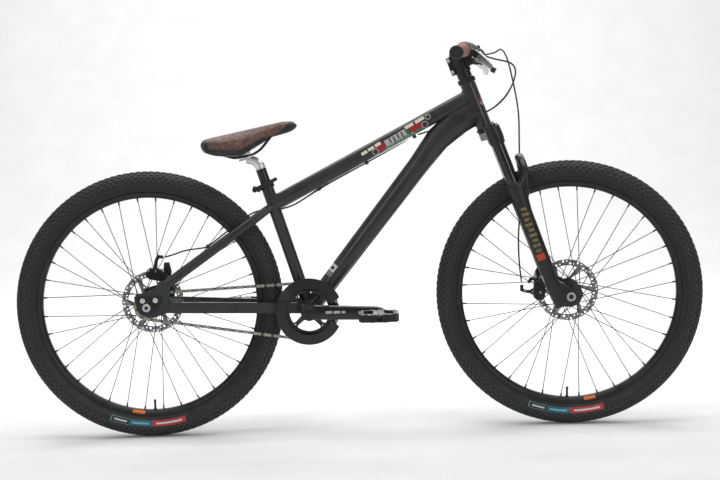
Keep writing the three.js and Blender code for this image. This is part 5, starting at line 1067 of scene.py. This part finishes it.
settle(from_bmesh("chain_outer_plates_and_pins", outers), slot_of["chain"], "frame", "chain")
for title, work in (("chain_inner_plates", inners), ("chain_rollers", rollers)):
    settle(from_bmesh(title, work), "black_steel", "frame", finish="link_steel")
print("chain of", link_count, "links at", round(pitch * 1000, 2), "mm")

# %% [markdown]
# ## Bolts and pins
# Small bright screws are what make a dark bicycle look assembled: four hold the chainring and its guard,
# two clamp each dropout plate, two squeeze the stem, and short pins stand up from the pedals for grip.

# %% Land inside the chainring
land = flat_plate(
    [circle(0.0598, 96), circle(0.0500, 96)], 0.002, 0.0003,
    shell_middle + Vector((0, -0.0479, 0)), (0, -1, 0))
settle(from_bmesh("chainring_land", land), "gloss_black_alloy", "cranks")

# %% Screws and caps of the cranks, dropouts and axles
cap_outline = (
    (0.0, 0.0), (0.0125, 0.0), (0.0125, 0.001), (0.0115, 0.002), (0.006, 0.0024),
    (0.005, 0.001), (0, 0.001))
end_outline = ((0.0, 0.0), (0.0088, 0.0), (0.0088, 0.0008), (0.0078, 0.0016), (0.0, 0.0016))
both_sides = ((-1, -across_bike), (1, across_bike))
screw_ring = [
    shell_middle + Vector((x, -0.0584, z))
    for x, z in (polar(0.052, math.radians(45 + 90 * i)) for i in range(4))]
front_ends = (Vector((0.528082, -0.083853, 0.336541)), Vector((0.541177, 0.075538, 0.341334)))
for title, slot, body, works in (
    ("chainring_screws", "black_steel", "cranks", [
        socket_bolt(spot, -across_bike, 0.0046, 0.0012, key=0.5) for spot in screw_ring]),
    ("crank_dust_caps", "black_alloy", "cranks", [
        lathe(cap_outline, shell_middle + way * 0.0736, way, steps=40)
        for _, way in both_sides]),
    ("dropout_screws", "polished_alloy", "frame", [
        socket_bolt(
            rear_middle + Vector((x, side * 0.0797, z)), way, 0.0062, 0.0016, key=0.5)
        for side, way in both_sides for x, z in ((-0.009, 0.018), (0.023, 0.0185))]),
    ("rear_axle_ends", "polished_alloy", "frame", [
        lathe(end_outline, rear_middle + way * 0.0805, way, steps=36) for _, way in both_sides]),
    ("rear_axle_keys", "black_steel", "frame", [
        socket_bolt(rear_middle + way * 0.0820, way, 0.0048, 0.0008, key=0.6)
        for _, way in both_sides]),
    ("front_axle_keys", "black_steel", "lowers", [
        socket_bolt(spot - front_way * side * 0.0002, front_way * side, 0.0062, 0.0010, key=0.6)
        for side, spot in zip((-1, 1), front_ends)]),
):
    settle(from_bmesh(title, poured(works)), slot, body)

# %% Pins and rubbed edges of the pedals
pin_places = [(x, y) for x in (-0.041, 0.041) for y in (0.030, 0.010, -0.010, -0.030)] + [
    (x, y) for y in (0.040, -0.040) for x in (-0.016, 0.016)]
for name, middle_x, middle_z, side, node in (
    ("drive", 0.042405, 0.309597, -1, "pedal_right"),
    ("far", -0.301425, 0.320403, 1, "pedal_left"),
):
    pins = bmesh.new()
    for x, y in pin_places:
        for up in (-1, 1):
            spot = Vector((middle_x + x, side * 0.1385 + y, middle_z + up * 0.0098))
            wire(
                pins, [spot + Vector((0, 0, up * rise)) for rise in (0, 0.0018, 0.0022)],
                [0.0022, 0.0022, 0.0016])
    settle(from_bmesh("pedal_pins_" + name, pins), "steel", node)
    low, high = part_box(node)
    title = "platform_pedal_" + name
    rubbed = copy_finish(title + "_rubbed", "pedal_alloy")
    tree = rubbed.node_tree
    scuffs = ramp_node(
        tree, noise_node(tree, object_place(tree), 180.0, 3.0, 0.7), 0.53, 0.58, 0.0, 0.9)
    for level, half in ((high[2] - 0.001, 0.0022), (low[2] + 0.001, 0.0014)):
        edge = Vector(((low[0] + high[0]) / 2, 0, level))
        block_mark(rubbed, (0.62, 0.62, 0.62), edge, 0.0, 0.06, half, share=scuffs)
    bpy.data.objects[title].data.materials[0] = rubbed
print("bolts and pins done")

# %% Pale blocks on the drive arm
arm_finish = copy_finish("crank_arm_printed", "gloss_black_alloy")
for x, half_length in ((-0.0800, 0.0085), (-0.0600, 0.0085), (-0.0435, 0.0045)):
    block_mark(
        arm_finish, (0.42, 0.43, 0.42), Vector((x, 0, 0.3146)), 1.5, half_length, 0.0034)
bpy.data.objects["crank_arm_drive"].data.materials[0] = arm_finish

# %% [markdown]
# ## Screws and dials of the brakes
# A cable disc brake is a small casting with a wheel on its inner side that sets the pad, short screws
# through its halves and a pivot screw through the arm. Each is dropped on the casting's own surface along
# its line, so that none of them floats or sinks.


# %% Fit the dials and screws
def on_surface(node, start, way):
    """The point where a line first meets a CAD part, or None."""
    skin_tree = bvhtree.BVHTree.FromBMesh(merged_copy(node))
    return skin_tree.ray_cast(start, way)[0]


dial_radius = 0.0085
dial_outline = (
    (0.0, -0.001), (dial_radius, -0.001), (dial_radius, 0.0016), (dial_radius - 0.001, 0.0024),
    (0.0, 0.0024))
for which, across in (("rear", across_bike), ("front", front_way)):
    node, arm = which + "_calliper", which + "_calliper_arm"
    low, high = (Vector(v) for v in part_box(node))
    middle = (low + high) / 2
    dial, *spots = (
        on_surface(node, middle + Vector((x, 0, z)) - across * 0.05, across)
        for x, z in ((0.0, -0.006), (-0.019, -0.004), (0.018, -0.006)))
    points = [v.co for v in frame["nodes"][arm].data.vertices]
    heart = sum(points, Vector()) / len(points)
    pivots = (
        on_surface(arm, heart + Vector(shift) + across * 0.05, -across)
        for shift in ((0, 0, -0.008), (0, 0, 0), (0.006, 0, 0.004)))
    pivot = next(spot for spot in pivots if spot is not None)
    screws = [socket_bolt(dial - across * 0.0022, -across, 0.0036, 0.0014, key=0.5)]
    screws += [
        socket_bolt(spot + across * 0.0002, -across, 0.0034, 0.0022, key=0.5)
        for spot in spots if spot is not None]
    for title, works, slot, body in (
        ("_pad_dial", [lathe(dial_outline, dial, -across, steps=36)], "black_alloy", body_of[node]),
        ("_brake_screws", screws, "steel", body_of[node]),
        ("_arm_screw", [socket_bolt(pivot - across * 0.0002, across, 0.0044, 0.0018, key=0.5)],
         "steel", body_of[arm]),
    ):
        settle(from_bmesh(which + title, poured(works)), slot, body)
    print(which, "brake fitted with its dial and", len(screws), "screws")

# %% [markdown]
# ## Grips, levers and stem screws
# The grips are tan rubber sleeves with rounded ribs and an inner collar, closed by a black end cap that the
# camera looks straight at. The brake levers are bright channels with a black ball at the tip. The stem is
# pinched by two bright screws.


# %% Grips
rib_pitch = 0.0052
rib_shape = (
    (0.01440, 0.0), (0.01510, 0.0005), (0.01545, 0.0015), (0.01545, 0.0029), (0.01510, 0.0039),
    (0.01440, 0.0044))
collar = [
    (0.0115, 0.0), (0.0168, 0.0), (0.0175, 0.0007), (0.0175, 0.0032), (0.0166, 0.0040),
    (0.0150, 0.0046)]
cap_length = 0.0095
# The end cap: radius, and distance from the grip's outer end
cap_shape = (
    (0.0115, cap_length), (0.0160, cap_length), (0.0166, cap_length - 0.0008), (0.0166, 0.0022),
    (0.0158, 0.0007), (0.0146, 0), (0.0112, 0), (0.0104, 0.0010), (0.0098, 0.0022),
    (0.0034, 0.0024), (0.0030, 0.0036), (0.0, 0.0036))
for title, node in (("grip_drive", "grip_right"), ("grip_far", "grip_left")):
    inner, outer = sorted(axis_of(node), key=lambda end: abs(end.y))
    way = (outer - inner).normalized()
    length = (outer - inner).length
    rubber_end = length - cap_length
    outline, level = list(collar), 0.006
    while level < rubber_end - rib_pitch:
        outline += [(radius, level + along) for radius, along in rib_shape]
        level += rib_pitch
    outline += [(0.0152, rubber_end - 0.0006), (0.0152, rubber_end), (0.0115, rubber_end)]
    sleeve = lathe(outline, inner, way, steps=56, crease=60)
    settle(from_bmesh(title + "_sleeve", sleeve), slot_of[node], body_of[node], node)
    cap = lathe(
        [(radius, length - back) for radius, back in cap_shape], inner, way, steps=56, crease=35)
    settle(from_bmesh(title + "_end_cap", cap), "black_plastic", body_of[node])
    print(title, "is", round(length * 1000, 1), "mm long")

# %% Ball ends of the levers
for title, pivot in (
    ("brake_lever_drive", Vector((0.291209, -0.189557, 0.939524))),
    ("brake_lever_far", Vector((0.321759, 0.182281, 0.950704))),
):
    blade = bpy.data.objects[title].data
    tip = max((v.co for v in blade.vertices), key=lambda point: (point - pivot).length).copy()
    near_tip = [v.co for v in blade.vertices if (v.co - tip).length < 0.014]
    middle = sum(near_tip, Vector()) / len(near_tip)
    blade.materials.append(finishes["black_plastic"])
    for face in blade.polygons:
        if (face.center - middle).length < 0.0085:
            face.material_index = 1
    print(title, "tip at", [round(v, 4) for v in middle])

# %% Screws of the stem
stem_screws = [
    socket_bolt(Vector(spot), front_way * side, radius, height, key=0.5)
    for spot, side, radius, height in (
        ((0.24883, -0.01075, 0.90532), -1, 0.0046, 0.0020),
        ((0.25074, 0.01255, 0.90602), 1, 0.0040, 0.0012),
        ((0.23817, -0.01075, 0.93443), -1, 0.0046, 0.0020),
        ((0.24009, 0.01255, 0.93513), 1, 0.0040, 0.0012))]
settle(from_bmesh("stem_screws", poured(stem_screws)), "polished_alloy", "steering")

# %% [markdown]
# ## Saddle
# The saddle is foam under a glued cover that is drawn down over a moulded shell, so it is tight, softly
# crowned and rounded at every edge. Pad, shell and a rolled rear edge are fused into one skin of even
# cells, a little smaller than their CAD forms, swollen as cloth under light pressure, and capped so that
# the skin can't grow out of its outline. The lower edge and both ends are black scuff covers.


# %% Shape the pad
def bake_modifiers(piece):
    """Writes a piece's modifiers into its mesh."""
    bpy.context.view_layer.update()
    shaped = piece.evaluated_get(bpy.context.evaluated_depsgraph_get())
    mesh = bpy.data.meshes.new_from_object(shaped)
    piece.modifiers.clear()
    old = piece.data
    piece.data = mesh
    bpy.data.meshes.remove(old)


def swell(pad, most):
    """Fills a skin as cloth under light pressure, and lets no point move further than a limit."""
    rest = [v.co.copy() for v in pad.data.vertices]
    cloth = pad.modifiers.new("Filling", "CLOTH").settings
    cloth.use_pressure = True
    cloth.uniform_pressure_force = 4.0
    cloth.effector_weights.gravity = 0.0
    cloth.quality = 6
    cloth.tension_stiffness = cloth.compression_stiffness = 30
    cloth.bending_stiffness = 6
    for step in range(1, 21):
        bpy.context.scene.frame_set(step)
    bake_modifiers(pad)
    bpy.context.scene.frame_set(1)
    for vertex, start in zip(pad.data.vertices, rest):
        moved = vertex.co - start
        if moved.length > most:
            vertex.co = start + moved.normalized() * most


# One half of the roll at the saddle's rear: x, y, z, half its height and half its depth
rear_roll = (
    (-0.262, 0.034, 0.7370, 0.009, 0.008), (-0.300, 0.046, 0.7260, 0.014, 0.010),
    (-0.330, 0.054, 0.7245, 0.0155, 0.011), (-0.356, 0.052, 0.7275, 0.0160, 0.012),
    (-0.374, 0.038, 0.7335, 0.0165, 0.0125), (-0.380, 0.019, 0.7370, 0.0165, 0.0125),
    (-0.3805, 0.0, 0.7375, 0.0165, 0.0125),
)
roll_centre = -0.325
shrink = (0.996, 0.985, 0.985)
cell = 0.004
most_swelling = 0.0022
skin_inset = 0.0002

work = poured(merged_copy(node) for node in ("saddle_pad", "saddle_base"))
sweep_ovals(work, [
    (Vector((x, y, z)), Vector((0, 0, 1)), Vector((x - roll_centre, y * 1.2, 0)).normalized(),
     high, deep)
    for x, y, z, high, deep in rear_roll + tuple(
        (x, -y, z, high, deep) for x, y, z, high, deep in rear_roll[-2::-1])])
bmesh.ops.triangulate(work, faces=work.faces)
pad = from_bmesh("saddle_cushion", work)
middle = sum((v.co for v in pad.data.vertices), Vector()) / len(pad.data.vertices)
for vertex in pad.data.vertices:
    vertex.co = middle + Vector([(v - m) * s for v, m, s in zip(vertex.co, middle, shrink)])
remesh = pad.modifiers.new("Even cells", "REMESH")
remesh.mode = "VOXEL"
remesh.voxel_size = cell
bake_modifiers(pad)
smooth = pad.modifiers.new("Rounded form", "SMOOTH")
smooth.factor = 0.5
smooth.iterations = 5
bake_modifiers(pad)
swell(pad, most_swelling)
for face in pad.data.polygons:
    face.use_smooth = True
finer = pad.modifiers.new("Smooth cover", "SUBSURF")
finer.levels = finer.render_levels = 1
(pad_low, pad_high), (base_low, base_high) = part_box("saddle_pad"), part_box("saddle_base")
for vertex in pad.data.vertices:
    for axis in range(3):
        low = min(pad_low[axis], base_low[axis]) + skin_inset
        high = max(pad_high[axis], base_high[axis]) - skin_inset
        vertex.co[axis] = min(max(vertex.co[axis], low), high)
print("pad has", len(pad.data.vertices), "points")

# %% Cover in two tones
cover = copy_finish("saddle_two_tone", "saddle_cover")
tree = cover.node_tree
place = object_place(tree)
for colour, scale, detail, rough, low, high, most in (
    ((0.085, 0.062, 0.072), 42.0, 4.0, 0.6, 0.42, 0.62, 0.75),
    ((0.30, 0.10, 0.045), 95.0, 6.0, 0.7, 0.53, 0.62, 0.85),
    ((0.03, 0.024, 0.024), 150.0, 5.0, 0.7, 0.50, 0.58, 0.85),
):
    mottle = noise_node(tree, place, scale, detail, rough)
    lay_mark(cover, colour, ramp_node(tree, mottle, low, high, 0.0, most))
nose_turn = -48.0
nose_x, nose_z = polar(0.05, math.radians(nose_turn))
# Each scuff cover: x, z, turn in degrees, half length, half height
for x, z, turn, half_length, half_height in (
    (-0.1935 + nose_x, 0.7678 + nose_z, nose_turn, 0.05, 0.09), (-0.4116, 0.74, 12.0, 0.04, 0.09),
    (-0.3640, 0.7060, -5.0, 0.040, 0.024), (-0.3100, 0.7030, -1.0, 0.040, 0.024),
    (-0.2560, 0.7170, 27.0, 0.040, 0.024), (-0.1950, 0.7340, 18.0, 0.040, 0.024),
):
    block_mark(cover, (0.013, 0.0135, 0.014), Vector((x, 0.0, z)), turn, half_length, half_height)
settle(pad, "saddle_cover", "seat_mast", "saddle_pad", "saddle_base", finish="saddle_two_tone")
print("saddle done")

# %% Dark sleeve of the seat post
post = copy_finish("seat_post_sleeved", "polished_alloy")
block_mark(
    post, (0.032, 0.034, 0.034), Vector((-0.1961, 0.0, 0.5335)), 107.4, 0.1500, 0.0150)
bpy.data.objects["seat_post_tube"].data.materials[0] = post

# %% [markdown]
# ## Welds
# An aluminium frame is joined by hand-laid beads that look like a row of overlapping coins. Each bead
# follows the curve where one tube meets another. The curve is found by sending lines along the first
# tube's skin until they meet the second, and the bead is a wire whose thickness ripples.


# %% Lay the beads
def meet_cylinder(start, way, foot, axis, radius):
    """The distance along a line at which it first meets a round tube, or None."""
    across = way - axis * way.dot(axis)
    offset = (start - foot) - axis * (start - foot).dot(axis)
    a, b, c = across.dot(across), 2 * across.dot(offset), offset.dot(offset) - radius * radius
    inside = b * b - 4 * a * c
    if inside <= 0 or a < 1e-12:
        return None
    return (-b - math.sqrt(inside)) / (2 * a)


def bead(work, end, start, half_side, half_tall, foot, axis, radius):
    """A rippled bead round the tube from start to end, where it meets another tube."""
    way = (end - start).normalized()
    side = (across_bike - way * across_bike.dot(way)).normalized()
    tall = way.cross(side)
    runs = [[]]
    for turn in around(bead_steps) + [2 * math.pi]:
        spot = start + side * (half_side * math.cos(turn)) + tall * (half_tall * math.sin(turn))
        reach = meet_cylinder(spot, way, foot, axis, radius)
        if reach is None or reach > (end - start).length + 0.05:
            runs.append([])
        else:
            runs[-1].append(spot + way * reach)
    for run in runs:
        if len(run) > 8:
            wire(work, run, [
                bead_size * (0.82 + 0.26 * abs(math.sin(k * math.pi / 3.2)))
                for k in range(len(run))])


bead_size, bead_steps = 0.0021, 180
head_radius, shell_radius, seat_tube_radius = 0.0198, 0.0225, 0.0159
seat_way = Vector((-0.299041, 0.0, 0.95424))
head_foot = Vector((0.327832, 0.0, 0.765766))
top_rear = shell_middle + seat_way * 0.2832
top_front = head_foot + steer_way * 0.088
top_middle = top_rear.lerp(top_front, 0.5)
down_front = head_foot + steer_way * 0.050
down_rear_bend = down_front + Vector((0.1005 * -1.53, 0, 0.0666 * -2.084))
down_front_bend = down_front + Vector((0.1005 * -0.505, 0, 0.0666 * -0.434))
beads = bmesh.new()
bead(beads, top_front, top_middle, 0.0192, 0.0192, head_foot, steer_way, head_radius)
bead(beads, top_rear, top_middle, 0.0203, 0.0203, shell_middle, seat_way, seat_tube_radius)
bead(beads, down_front, down_front_bend, 0.0225, 0.036, head_foot, steer_way, head_radius)
bead(beads, shell_middle, down_rear_bend, 0.0225, 0.0232, shell_middle, across_bike, shell_radius)
bead(
    beads, shell_middle, top_rear, seat_tube_radius, seat_tube_radius, shell_middle, across_bike,
    shell_radius)
settle(from_bmesh("weld_beads", beads), slot_of["frame"], "frame")
print("beads laid")

# %% [markdown]
# ## Arch of the fork
# The two lower legs of a suspension fork are one casting, tied over the tyre by a deep rounded arch that
# keeps them from twisting, and flared where each leg takes its upper tube. Arch and flares are one smooth
# body, swept ahead of the legs so that it passes the crown at full travel.

# %% Sweep the arch
fork_foot = Vector((0.490005, 0.0, 0.322607))
fork_turned = wheel_places["front"].to_3x3()
ahead_x, ahead_z = polar(1.0, math.radians(20.1))
fork_ahead = (fork_turned @ Vector((ahead_x, 0, ahead_z))).normalized()
lowers_top = 0.313


def on_fork(ahead, aside, up):
    """A point given ahead of the steering axis, to the left, and up from the legs' top."""
    return (
        fork_foot + fork_ahead * ahead + front_way * aside + steer_way * (lowers_top + up))


# Half of the arch: ahead, aside, up, half its depth and half its thickness
arch_path = (
    (0.006, 0.0690, -0.066, 0.0180, 0.012), (0.020, 0.0680, -0.038, 0.0170, 0.012),
    (0.0390, 0.0665, -0.016, 0.0140, 0.012), (0.0495, 0.0645, 0.002, 0.0090, 0.0115),
    (0.0530, 0.0610, 0.018, 0.0105, 0.0115), (0.0540, 0.0520, 0.037, 0.0112, 0.0105),
    (0.0540, 0.0360, 0.051, 0.0112, 0.0095), (0.0540, 0.0180, 0.0575, 0.0112, 0.0088),
    (0.0540, 0.0, 0.0590, 0.0112, 0.0085),
)
# The flare of a leg: up, ahead, half its depth and half its thickness
leg_flare = (
    (0.0005, 0.0045, 0.0215, 0.0180), (-0.0010, 0.0045, 0.0230, 0.0190),
    (-0.0060, 0.0042, 0.0230, 0.0190), (-0.0300, 0.0030, 0.0214, 0.0186),
    (-0.0600, 0.0016, 0.0198, 0.0182), (-0.1050, 0.0, 0.0176, 0.0176),
)
spots = list(arch_path) + [(a, -s, u, d, t) for a, s, u, d, t in arch_path[-2::-1]]
rings = []
for i, (ahead, aside, up, deep, thick) in enumerate(spots):
    before, after = spots[max(i - 1, 0)], spots[min(i + 1, len(spots) - 1)]
    way = (on_fork(*after[:3]) - on_fork(*before[:3])).normalized()
    across = (fork_ahead - way * fork_ahead.dot(way)).normalized()
    rings.append((on_fork(ahead, aside, up), across, way.cross(across), deep, thick))
arch = bmesh.new()
sweep_ovals(arch, rings)
for node in ("stanchion_right", "stanchion_left"):
    low, high = axis_of(node)
    off = (low + high) / 2 - fork_foot
    leg_aside, leg_ahead = off.dot(front_way), off.dot(fork_ahead)
    print("leg", node, "is", round(leg_aside, 4), "aside,", round(leg_ahead, 4), "ahead")
    sweep_ovals(arch, [
        (on_fork(leg_ahead + ahead, leg_aside, up), fork_ahead, front_way, deep, thick)
        for up, ahead, deep, thick in leg_flare])
bmesh.ops.recalc_face_normals(arch, faces=arch.faces)
arch_piece = from_bmesh("fork_arch", arch)
make_round(arch_piece, 1)
settle(arch_piece, "fork_paint", "lowers")

# %% [markdown]
# ## Printed marks
# Like many dirt jump bikes it carries a small bright graphic on the top tube. This one is a plain pattern:
# cream tiles at both ends, two red lozenges, a green stripe under a pale middle, and rings. Nothing on it
# can be read. The fork leg has a row of gold blocks that ends in a red one.

# %% Graphic of the top tube
marked = copy_finish("frame_paint_printed", "frame_paint")
cream, red, green = (0.72, 0.68, 0.55), (0.32, 0.012, 0.016), (0.01, 0.15, 0.07)
pale, line, ink = (0.42, 0.43, 0.42), (0.36, 0.35, 0.32), (0.03, 0.03, 0.03)
tube_turn = 29.06
tube_x, tube_z = polar(1.0, math.radians(tube_turn))
tube_way, tube_over = Vector((tube_x, 0, tube_z)), Vector((-tube_z, 0, tube_x))
tube_start = Vector((0.0105, 0.0, 0.6903))


def on_tube(along, above):
    """A point of the top tube's side, from the graphic's rear end and above the tube's middle."""
    return tube_start + tube_way * along + tube_over * above


for along, above, half_length, half_height, colour in (
    (0.122, -0.0085, 0.060, 0.0050, green), (0.105, 0.0045, 0.030, 0.0085, pale),
    (0.062, 0.0015, 0.013, 0.0085, red), (0.164, 0.0015, 0.018, 0.0080, red),
    (0.018, 0.0120, 0.0085, 0.0042, cream), (0.038, 0.0125, 0.0085, 0.0042, cream),
    (0.058, 0.0130, 0.0085, 0.0042, cream), (0.150, 0.0130, 0.0120, 0.0042, cream),
    (0.180, 0.0125, 0.0130, 0.0042, cream), (0.090, 0.0065, 0.0022, 0.0075, ink),
    (0.101, 0.0035, 0.0022, 0.0075, ink), (0.113, 0.0065, 0.0022, 0.0075, ink),
    (0.124, 0.0035, 0.0022, 0.0075, ink), (0.140, 0.0020, 0.0050, 0.0050, green),
):
    block_mark(marked, colour, on_tube(along, above), tube_turn, half_length, half_height)
small_rings = [
    (0.078 + 0.014 * k, -0.0090 if k % 2 else -0.0075, 0.0040) for k in range(6)]
for along, above, radius in [
        (0.044, -0.0005, 0.0075), (0.186, -0.0045, 0.0078), (0.202, 0.0085, 0.0062)] + small_rings:
    print_mark(
        marked, line, ring_group, Place=on_tube(along, above), Radius=radius, Half_width=0.0011)

# %% Small marks of the down tube and head tube
for x, z, turn, half_length, half_height, colour in (
    (-0.0674, 0.4206, 51.0, 0.0110, 0.0085, (0.6, 0.6, 0.58)),
    (-0.0674, 0.4206, 51.0, 0.0045, 0.0040, (0.02, 0.02, 0.02)),
    (-0.0770, 0.4080, 51.0, 0.0018, 0.0085, (0.4, 0.4, 0.39)),
    (-0.0805, 0.4035, 51.0, 0.0012, 0.0085, (0.4, 0.4, 0.39)),
    (0.318, 0.838, 69.9, 0.009, 0.005, (0.17, 0.035, 0.06)),
    (0.3205, 0.827, 69.9, 0.0035, 0.005, (0.3, 0.27, 0.28)),
):
    block_mark(marked, colour, Vector((x, 0, z)), turn, half_length, half_height)
bpy.data.objects["welded_frame"].data.materials[0] = marked

# %% Blocks of the fork leg
banded = copy_finish("fork_paint_printed", "fork_paint")
leg_turn = 109.5
leg_x, leg_z = polar(1.0, math.radians(leg_turn))
for x, z, half_length, half_height, colour in (
    (0.4540, 0.4390, 0.0085, 0.0105, (0.5, 0.045, 0.012)),
    (0.4560, 0.3800, 0.0100, 0.0050, (0.6, 0.6, 0.58)),
):
    block_mark(banded, colour, Vector((x, 0, z)), leg_turn, half_length, half_height)
tree = banded.node_tree
leaf = noise_node(tree, object_place(tree), 130.0, 4.0, 0.65)
gilding = ramp_node(tree, leaf, 0.40, 0.56, 0.35, 1.0)
for k in range(9):
    place = Vector((0.4330, 0, 0.5010)) + Vector((leg_x, 0, leg_z)) * (-0.0480 + 0.0138 * k)
    block_mark(
        banded, (0.2, 0.165, 0.06), place, leg_turn, 0.0044, 0.0100 if k % 2 else 0.0075,
        share=gilding)
bpy.data.objects["sliding_fork_legs"].data.materials[0] = banded
print("marks printed")
